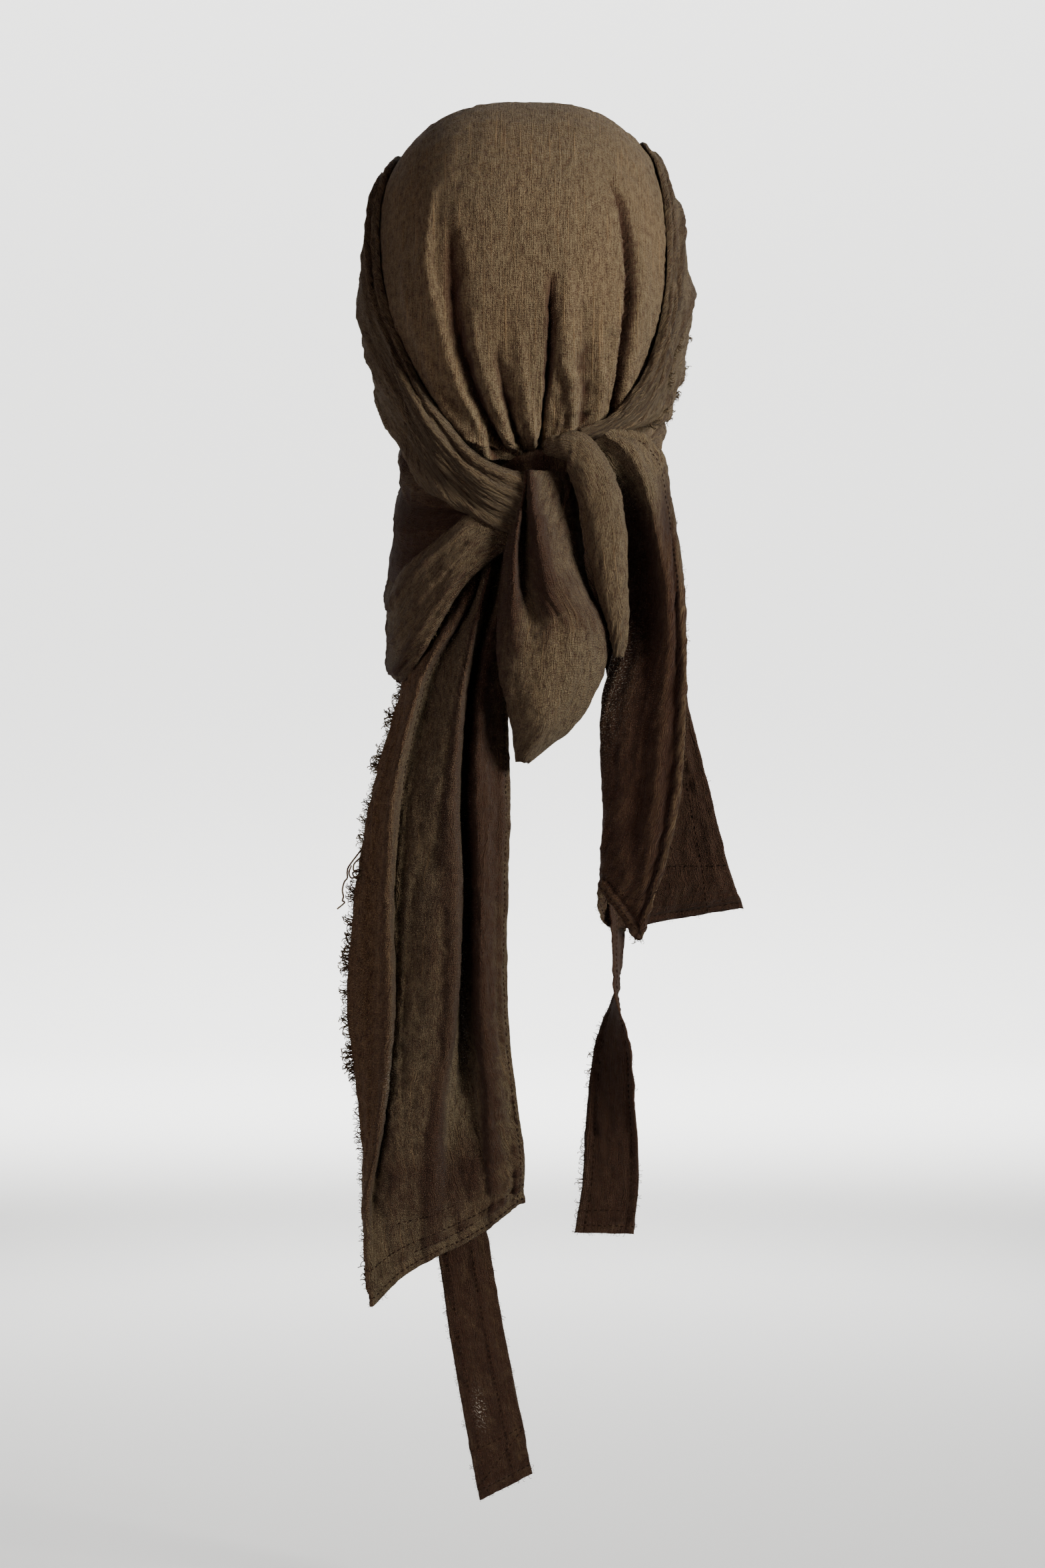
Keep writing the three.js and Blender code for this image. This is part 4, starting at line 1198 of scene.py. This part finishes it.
def cloth_piece(name, grid, runs, wall, material, marks):
    """A cloth of the given wall about a grid of points in millimetres."""
    along, across = grid.shape[:2]
    mesh = bpy.data.meshes.new(name)
    corner = np.arange(along * across).reshape(along, across)
    faces = np.stack([corner[:-1, :-1], corner[:-1, 1:], corner[1:, 1:], corner[1:, :-1]], axis=-1)
    mesh.from_pydata((grid.reshape(-1, 3) * MM).tolist(), [], faces.reshape(-1, 4).tolist())
    layer = mesh.uv_layers.new(name="cloth")
    place = np.stack(runs, axis=-1).reshape(-1, 2) * MM
    indices = np.empty(len(mesh.loops), int)
    mesh.loops.foreach_get("vertex_index", indices)
    layer.data.foreach_set("uv", place[indices].ravel())
    for label, values in marks.items():
        mesh.attributes.new(label, "FLOAT", "POINT").data.foreach_set("value", values.ravel())
    mesh.materials.append(material)
    mesh.polygons.foreach_set("use_smooth", np.ones(len(mesh.polygons), bool))
    piece = new_piece(name, mesh)
    thick = piece.modifiers.new("wall", "SOLIDIFY")
    thick.thickness = wall
    thick.offset = 0
    return plain(piece)


def run_nodes(piece, group, values):
    """Runs a node group on a piece with the given inputs and keeps the result as a plain mesh."""
    modifier = piece.modifiers.new(group.name, "NODES")
    modifier.node_group = group
    for item in group.interface.items_tree:
        if item.item_type == "SOCKET" and item.name in values:
            modifier[item.identifier] = values[item.name]
    return plain(piece)


def mesh_group(name, inputs):
    """A geometry node group with a mesh and a material among its inputs."""
    inputs = {"Geometry": "Geometry", **inputs, "Material": "Material"}
    return new_group(name, "GeometryNodeTree", inputs, {"Geometry": "Geometry"})


def put_out(group, entry, leave, geometry):
    """Makes a group's geometry real and gives it the group's material."""
    real = add_node(group, "GeometryNodeRealizeInstances", {"Geometry": geometry})
    values = {"Geometry": real, "Material": entry["Material"]}
    give(group, leave["Geometry"], add_node(group, "GeometryNodeSetMaterial", values))


def copies_on(group, points, shape, rotation, size):
    values = {"Points": points, "Instance": shape, "Rotation": rotation, "Scale": size}
    return add_node(group, "GeometryNodeInstanceOnPoints", values)


def turned_along(group, vector):
    return add_node(group, "FunctionNodeAlignRotationToVector", {"Vector": vector}, axis="X")


def stitch_group():
    """Small stitches along the edges of a wire mesh."""
    sizes = {"Pitch": "Float", "Length": "Float", "Width": "Float"}
    group, entry, leave = mesh_group("stitch run", sizes)
    curve = add_node(group, "GeometryNodeMeshToCurve", {"Mesh": entry["Geometry"]})
    values = {"Curve": curve, "Length": entry["Pitch"]}
    points = add_node(group, "GeometryNodeResampleCurve", values, mode="LENGTH")
    rotation = turned_along(group, add_node(group, "GeometryNodeInputTangent"))
    shape = add_node(group, "GeometryNodeMeshIcoSphere", {"Radius": 0.5, "Subdivisions": 1})
    values = {"X": entry["Length"], "Y": entry["Width"], "Z": entry["Width"]}
    size = add_node(group, "ShaderNodeCombineXYZ", values)
    put_out(group, entry, leave, copies_on(group, points, shape, rotation, size))
    return group


def fray_group():
    """A short bent fibre on each point of a mesh, along the point's way."""
    group, entry, leave = mesh_group("frayed edge", {"Spread": "Float", "Seed": "Int"})
    way, reach = (
        add_node(group, "GeometryNodeInputNamedAttribute", {"Name": name}, data_type=kind)
        for name, kind in (("way", "FLOAT_VECTOR"), ("reach", "FLOAT")))
    values = {"Min": (-3.1, -1, -1), "Max": (3.1, 1, 1), "Seed": entry["Seed"]}
    shake = add_node(group, "FunctionNodeRandomValue", values, data_type="FLOAT_VECTOR")
    values = {"Vector": shake, "Scale": entry["Spread"]}
    shake = add_node(group, "ShaderNodeVectorMath", values, operation="SCALE")
    turn = add_node(group, "FunctionNodeEulerToRotation", {"Euler": shake})
    values = {"Rotation": turned_along(group, way), "Rotate By": turn}
    rotation = add_node(group, "FunctionNodeRotateRotation", values, rotation_space="LOCAL")
    size = add_node(group, "ShaderNodeCombineXYZ", {axis: reach for axis in "XYZ"})
    bend = add_node(group, "GeometryNodeCurveQuadraticBezier", {
        "Resolution": 4, "Start": (-0.15, 0, 0), "Middle": (1.1, 0.1, 0.1), "End": (0.7, 0.65, 0.2)})
    ring = add_node(group, "GeometryNodeCurvePrimitiveCircle", {"Resolution": 3, "Radius": 0.055})
    fibre = add_node(group, "GeometryNodeCurveToMesh", {"Curve": bend, "Profile Curve": ring})
    points = add_node(group, "GeometryNodeMeshToPoints", {"Mesh": entry["Geometry"]})
    put_out(group, entry, leave, copies_on(group, points, fibre, rotation, size))
    return group


def thread_group():
    """Round thread along the edges of a wire mesh."""
    group, entry, leave = mesh_group("thread run", {"Width": "Float"})
    curve = add_node(group, "GeometryNodeMeshToCurve", {"Mesh": entry["Geometry"]})
    half = math_node(group, "MULTIPLY", entry["Width"], 0.5)
    ring = add_node(group, "GeometryNodeCurvePrimitiveCircle", {"Resolution": 5, "Radius": half})
    put_out(group, entry, leave, add_node(group, "GeometryNodeCurveToMesh", {
        "Fill Caps": True, "Curve": curve, "Profile Curve": ring}))
    return group


def wire_mesh(name, paths):
    """A mesh of edges along paths of points in millimetres."""
    points = []
    edges = []
    for path in paths:
        first = len(points)
        points += [tuple(point * MM) for point in path]
        edges += [(first + k, first + k + 1) for k in range(len(path) - 1)]
    mesh = bpy.data.meshes.new(name)
    mesh.from_pydata(points, edges, [])
    return mesh


def pulled_threads(name, settings):
    """Long threads that have come loose from a raw edge and curl."""
    paths = []
    for k, stops in enumerate(PULLED_THREADS):
        flat = through(np.array(stops), np.linspace(0, 1, 12 * len(stops)))
        depth = PULLED_DEPTH + k + PULLED_CURL * np.sin(np.linspace(0, 7, len(flat)))
        paths.append(np.stack([flat[:, 0], depth, flat[:, 1]], axis=-1))
    group = bpy.data.node_groups.get("thread run") or thread_group()
    return run_nodes(new_piece(name, wire_mesh(name, paths)), group, {
        "Width": settings.stitch_width * PULLED_WIDTH, "Material": material_for(settings, "loose fibre")})


def on_grid(grid, across, along):
    """Points of a grid at (across, along) shares, between its own points."""
    rows = np.clip(along, 0, 1) * (grid.shape[0] - 1)
    columns = np.clip(across, 0, 1) * (grid.shape[1] - 1)
    j = np.minimum(rows.astype(int), grid.shape[0] - 2)
    i = np.minimum(columns.astype(int), grid.shape[1] - 2)
    g = (rows - j)[:, None]
    f = (columns - i)[:, None]
    low = grid[j, i] * (1 - f) + grid[j, i + 1] * f
    high = grid[j + 1, i] * (1 - f) + grid[j + 1, i + 1] * f
    return low * (1 - g) + high * g


def stitches(name, grid, seams, settings):
    """Rows of stitches that lie on the +Y face of a cloth."""
    normals = grid_normals(grid)
    paths = []
    for stops in seams:
        t = np.linspace(0, 1, STITCH_POINTS)
        stops = np.array(stops)
        share = np.linspace(0, 1, len(stops))
        across, along = (np.interp(t, share, stops[:, k]) for k in range(2))
        out = on_grid(normals, across, along)
        out = out * np.where(out[:, 1:2] < 0, -1, 1)
        paths.append(on_grid(grid, across, along) + out * (settings.wall / MM / 2 + STITCH_PROUD))
    group = bpy.data.node_groups.get("stitch run") or stitch_group()
    return run_nodes(new_piece(name, wire_mesh(name, paths)), group, {
        "Pitch": settings.stitch_pitch, "Length": settings.stitch_pitch * STITCH_LENGTH,
        "Width": settings.stitch_width, "Material": material_for(settings, "dark thread")})


def raw_edge(grid, normals, side):
    """A raw edge's points, points further in on the cloth, and the cloth's normals along it."""
    if side == "fold":
        across, along = np.array(FRAYED_FOLD).T
        edge = on_grid(grid, across, along)
        return edge, edge + np.array([0.0, 0.0, 3.0]), on_grid(normals, across, along)
    if side == "skyline":
        rows, columns = grid[..., 0].argmin(axis=0), np.arange(grid.shape[1])
        edge = grid[rows, columns]
        return edge, edge + np.array([3.0, 0.0, 0.0]), normals[rows, columns]
    if side == "lower":
        return grid[-1], grid[-1 - EDGE_STEPS], normals[-1]
    if side == "left":
        return grid[:, 0], grid[:, EDGE_STEPS], normals[:, 0]
    return grid[:, -1], grid[:, -1 - EDGE_STEPS], normals[:, -1]


def along_line(line, run, at):
    """A line's points or ways at distances along it, from the distance of each of its own."""
    return np.stack([np.interp(at, run, line[:, k]) for k in range(3)], axis=-1)


def frayed_edges(name, grid, sides, settings, seed):
    """Loose fibres along raw edges, outwards and a little off the cloth's outer face."""
    rng = np.random.default_rng(seed)
    normals = grid_normals(grid)
    points, ways, reaches = [], [], []
    for side, start, end, length, density in sides:
        edge, inner, face = raw_edge(grid, normals, side)
        run = np.concatenate([[0], np.cumsum(np.linalg.norm(np.diff(edge, axis=0), axis=-1))])
        count = int((end - start) * run[-1] / 10 * density)
        at = np.sort(rng.uniform(start, end, count)) * run[-1]
        tufts = TUFT_LEAST + (1 - TUFT_LEAST) * np.abs(noise(at / TUFT_WIDTH, at * 0, seed + 5))
        outer = face * np.sign((face * (edge - HUB)).sum(axis=-1, keepdims=True))
        edge_way = unit(unit(edge - inner) + FIBRE_LIFT * outer)
        points.append(along_line(edge, run, at) * MM)
        ways.append(along_line(edge_way, run, at))
        reaches.append(length * MM * tufts * rng.uniform(*FIBRE_VARIES, count))
    mesh = bpy.data.meshes.new(name)
    mesh.from_pydata(np.concatenate(points).tolist(), [], [])
    way = mesh.attributes.new("way", "FLOAT_VECTOR", "POINT")
    way.data.foreach_set("vector", np.concatenate(ways).ravel())
    reach = mesh.attributes.new("reach", "FLOAT", "POINT")
    reach.data.foreach_set("value", np.concatenate(reaches))
    group = bpy.data.node_groups.get("frayed edge") or fray_group()
    return run_nodes(new_piece(name, mesh), group, {
        "Spread": FIBRE_SPREAD, "Seed": seed, "Material": material_for(settings, "loose fibre")})


def spread(surface, width, length, settings):
    """A surface's grid at the settings' mesh step, for a cloth about width by length millimetres."""
    step = settings.mesh_step / MM
    return surface(*[np.linspace(0, 1, int(side / step) + 1) for side in (width, length)])


def declare(piece, node, with_pieces):
    """Attaches a cloth and what is sewn to it to the root, and hides the imported part that it stands for.
    """
    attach(piece, "root")
    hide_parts(node)
    for extra in with_pieces:
        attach(extra, "root")


def near(across, along, place_across, place_along, reach_across, reach_along):
    """1 at a place on a cloth, falling away over its reach."""
    away = ((across - place_across) / reach_across) ** 2 + ((along - place_along) / reach_along) ** 2
    return np.exp(-away)


def cloth_marks(name, grid):
    """What a cloth's material reads: the painted shade of its folds and of other pieces, the painted
    red-brown of shade, thin places with painted light, and how rough it is.
    """
    across, along = np.meshgrid(np.linspace(0, 1, grid.shape[1]), np.linspace(0, 1, grid.shape[0]))
    thin = np.zeros(across.shape)
    for place in THIN.get(name, ()):
        thin = np.maximum(thin, near(across, along, *place))
    # Painted shade: the red-brown of cloth that lies in shade
    shade_warmth = between(SHADE_WARMTH.get(name, SHADE_WARMTH["all"]), across)
    shade_warmth = shade_warmth * between(SHADE_WARM_RISE.get(name, SHADE_WARM_RISE["all"]), along)
    # Painted shade from the folds, from the shade of other pieces and from patches, painted lighter where
    # the tables go below nothing
    fold = painted_fold_shade(grid) + between(SHADED.get(name, SHADED["all"]), along)
    for *place, much in PAINTED_SHADE_PATCHES.get(name, ()):
        fold += much * near(across, along, *place)
    rough = np.full(across.shape, ROUGH.get(name, ROUGH["all"]))
    return {"fold": np.clip(fold, 0, 1), "shade_warmth": shade_warmth, "thin": thin, "rough": rough}


def make_cloth(name, surface, width, length, settings, seed, runs=grid_runs, crease=1.0):
    flat_grid = spread(surface, width, length, settings)
    crease = crease * settings.crease / MM
    grid = crinkled(flat_grid, runs(flat_grid), crease, settings.crinkle / MM, seed)
    grid = hemmed(cross_creased(grid, name, seed), HEMS.get(name, ()), seed)
    gauze = material_for(settings, "crinkled gauze")
    piece = cloth_piece(name + "_cloth", grid, runs(grid), settings.wall, gauze, cloth_marks(name, grid))
    trims = []
    if name in SEAMS:
        trims.append(stitches(name + "_stitches", grid, SEAMS[name], settings))
    if name in FRAYS:
        trims.append(frayed_edges(name + "_fray", grid, FRAYS[name], settings, seed))
    if name == "tail_left":
        trims.append(pulled_threads(name + "_threads", settings))
    declare(piece, name, trims)


class WRAP_OT_crown(bpy.types.Operator):
    """Builds the cap, drawn into pleats that run to the nape"""
    bl_idname = "wrap.crown"
    bl_label = "Crown"

    def execute(self, context):
        settings = context.scene.wrap
        make_cloth("crown", cap_surface, 290, 250, settings, 11,
                   runs=cap_runs, crease=0.4)
        return {"FINISHED"}


class WRAP_OT_side_bands(bpy.types.Operator):
    """Builds the two side bands, drawn back over the cap"""
    bl_idname = "wrap.side_bands"
    bl_label = "Side bands"

    def execute(self, context):
        settings = context.scene.wrap
        left = pleated(band_surface(BAND_LEFT), FOLDS["side_band_left"], 0.8, 21)
        right = pleated(band_surface(BAND_RIGHT), FOLDS["side_band_right"], 1.2, 22)
        make_cloth("side_band_left", left, 110, 250, settings, 31, crease=1.6)
        make_cloth("side_band_right", right, 110, 200, settings, 32, crease=1.6)
        return {"FINISHED"}


class WRAP_OT_nape_flap(bpy.types.Operator):
    """Builds the cloth that hangs below the bands round the nape"""
    bl_idname = "wrap.nape_flap"
    bl_label = "Nape flap"

    def execute(self, context):
        surface = pleated(strip_surface(NAPE_FLAP, 0), FOLDS["nape_flap"], 1.2, 26)
        make_cloth("nape_flap", surface, 50, 250, context.scene.wrap, 41)
        return {"FINISHED"}


class WRAP_OT_neck_drape(bpy.types.Operator):
    """Builds the swag round the left of the neck"""
    bl_idname = "wrap.neck_drape"
    bl_label = "Neck drape"

    def execute(self, context):
        surface = pleated(strip_surface(NECK_DRAPE, 3), FOLDS["neck_drape_left"], 1.2, 23)
        make_cloth("neck_drape_left", surface, 56, 190, context.scene.wrap, 51)
        return {"FINISHED"}


class WRAP_OT_knot(bpy.types.Operator):
    """Builds the knot's bunched middle, its pouch and its rolled fold"""
    bl_idname = "wrap.knot"
    bl_label = "Knot"

    def execute(self, context):
        settings = context.scene.wrap
        make_cloth("knot", bunch_surface, 80, 50, settings, 61)
        pouch = folded_surface(POUCH)
        make_cloth("pouch", pouch, 100, 150, settings, 62, crease=1.4)
        make_cloth("knot_roll", roll_surface, 44, 130, settings, 63)
        return {"FINISHED"}


class WRAP_OT_tails(bpy.types.Operator):
    """Builds the long and the short tail"""
    bl_idname = "wrap.tails"
    bl_label = "Tails"

    def execute(self, context):
        settings = context.scene.wrap
        left = pleated(folded_surface(TAIL_LEFT), FOLDS["tail_left"], 0.7, 24, from_back)
        make_cloth("tail_left", left, 130, 390, settings, 71, crease=1.9)
        right = pleated(folded_surface(TAIL_RIGHT), FOLDS["tail_right"], 0.7, 25, from_back)
        make_cloth("tail_right", right, 130, 260, settings, 72, crease=1.5)
        return {"FINISHED"}


class WRAP_OT_ties(bpy.types.Operator):
    """Builds the two narrow ties"""
    bl_idname = "wrap.ties"
    bl_label = "Ties"

    def execute(self, context):
        settings = context.scene.wrap
        left, right = tie_surface(TIE_LEFT), tie_surface(TIE_RIGHT)
        make_cloth("tie_left", left, 26, 480, settings, 81, crease=0.3)
        make_cloth("tie_right", right, 28, 360, settings, 82, crease=0.3)
        return {"FINISHED"}


def backdrop(settings):
    """A round floor that sweeps up into a plain wall all round."""
    start = WALL_REACH - WALL_BEND
    profile = [(FLOOR_MIDDLE, FLOOR_LEVEL), (start, FLOOR_LEVEL)]
    for angle in np.radians(np.linspace(9, 90, 10)):
        out, up = WALL_BEND * math.sin(angle), WALL_BEND * (1 - math.cos(angle))
        profile.append((start + out, FLOOR_LEVEL + up))
    profile.append((WALL_REACH, WALL_TOP))
    verts = [(0, 0, FLOOR_LEVEL)]
    for radius, height in profile:
        for angle in np.linspace(0, 2 * math.pi, WALL_TURNS, endpoint=False):
            verts.append((radius * math.cos(angle), radius * math.sin(angle), height))
    faces = []
    for k in range(WALL_TURNS):
        after = (k + 1) % WALL_TURNS
        faces.append((0, 1 + k, 1 + after))
        for low in range(1, 1 + WALL_TURNS * (len(profile) - 1), WALL_TURNS):
            high = low + WALL_TURNS
            faces.append((low + k, high + k, high + after, low + after))
    mesh = bpy.data.meshes.new("floor")
    mesh.from_pydata(verts, [], faces)
    mesh.polygons.foreach_set("use_smooth", [True] * len(faces))
    material, tree, shader = new_material("pale floor", {"Roughness": 0.9})
    place = add_node(tree, "ShaderNodeTexCoord").node.outputs["Object"]
    tone = stretched_noise(tree, place, *FLOOR_TONE)
    dark = tinted(settings.floor, level=FLOOR_DARKER)
    give(tree, shader["Base Color"], mix_colour(tree, tone, dark, tinted(settings.floor)))
    mesh.materials.append(material)
    return new_piece("floor", mesh)


def add_light(name, kind, place, aim, power, **options):
    """A light at a place in metres, turned towards its aim."""
    data = bpy.data.lights.new(name, kind)
    data.energy = power
    for option, value in options.items():
        setattr(data, option, value)
    light = new_piece(name, data)
    light.location = place
    light.rotation_euler = (Vector(aim) - Vector(place)).to_track_quat("-Z", "Y").to_euler()


class WRAP_OT_stage(bpy.types.Operator):
    """Builds the floor, the lights and the camera"""
    bl_idname = "wrap.stage"
    bl_label = "Stage"

    def execute(self, context):
        settings = context.scene.wrap
        backdrop(settings)
        for name, place, aim, size, share, colour, spread_angle in SOFT_LIGHTS:
            add_light(name, "AREA", place, aim, settings.key_power * share, size=size, color=colour,
                      spread=math.radians(spread_angle))
        for name, place, aim, share, cone in SPOTS:
            add_light(name, "SPOT", place, aim, settings.key_power * share,
                      spot_size=math.radians(cone), spot_blend=0.7, shadow_soft_size=0.3)
        world = bpy.data.worlds.new("studio")
        world.use_nodes = True
        sky = world.node_tree.nodes["Background"].inputs
        sky["Color"].default_value = (1, 1, 1, 1)
        sky["Strength"].default_value = WORLD_STRENGTH
        context.scene.world = world
        data = bpy.data.cameras.new("photo view")
        data.sensor_fit = "AUTO"
        data.sensor_width = 36
        data.lens = CAMERA_LENS
        camera = new_piece("photo view", data)
        camera.location = CAMERA_PLACE
        camera.rotation_euler = (math.pi / 2, 0, math.pi)
        context.scene.camera = camera
        return {"FINISHED"}


OPERATORS = (
    WRAP_OT_stage,
    WRAP_OT_crown,
    WRAP_OT_side_bands,
    WRAP_OT_nape_flap,
    WRAP_OT_neck_drape,
    WRAP_OT_knot,
    WRAP_OT_tails,
    WRAP_OT_ties,
)


class WRAP_PT_panel(bpy.types.Panel):
    """Lists the wrap's sizes, colours and pieces"""
    bl_idname = "WRAP_PT_panel"
    bl_label = "Head Wrap"
    bl_space_type = "VIEW_3D"
    bl_region_type = "UI"
    bl_category = "Head Wrap"

    def draw(self, context):
        for name in WrapSettings.__annotations__:
            self.layout.prop(context.scene.wrap, name)
        for operator in OPERATORS:
            self.layout.operator(operator.bl_idname)


CLASSES = (WrapSettings, *OPERATORS, WRAP_PT_panel)


def register():
    for item in CLASSES:
        bpy.utils.register_class(item)
    bpy.types.Scene.wrap = bpy.props.PointerProperty(type=WrapSettings)


def unregister():
    del bpy.types.Scene.wrap
    for item in reversed(CLASSES):
        bpy.utils.unregister_class(item)


def main():
    register()
    for operator in OPERATORS:
        group, name = operator.bl_idname.split(".")
        getattr(getattr(bpy.ops, group), name)()


if __name__ == "__main__":
    main()
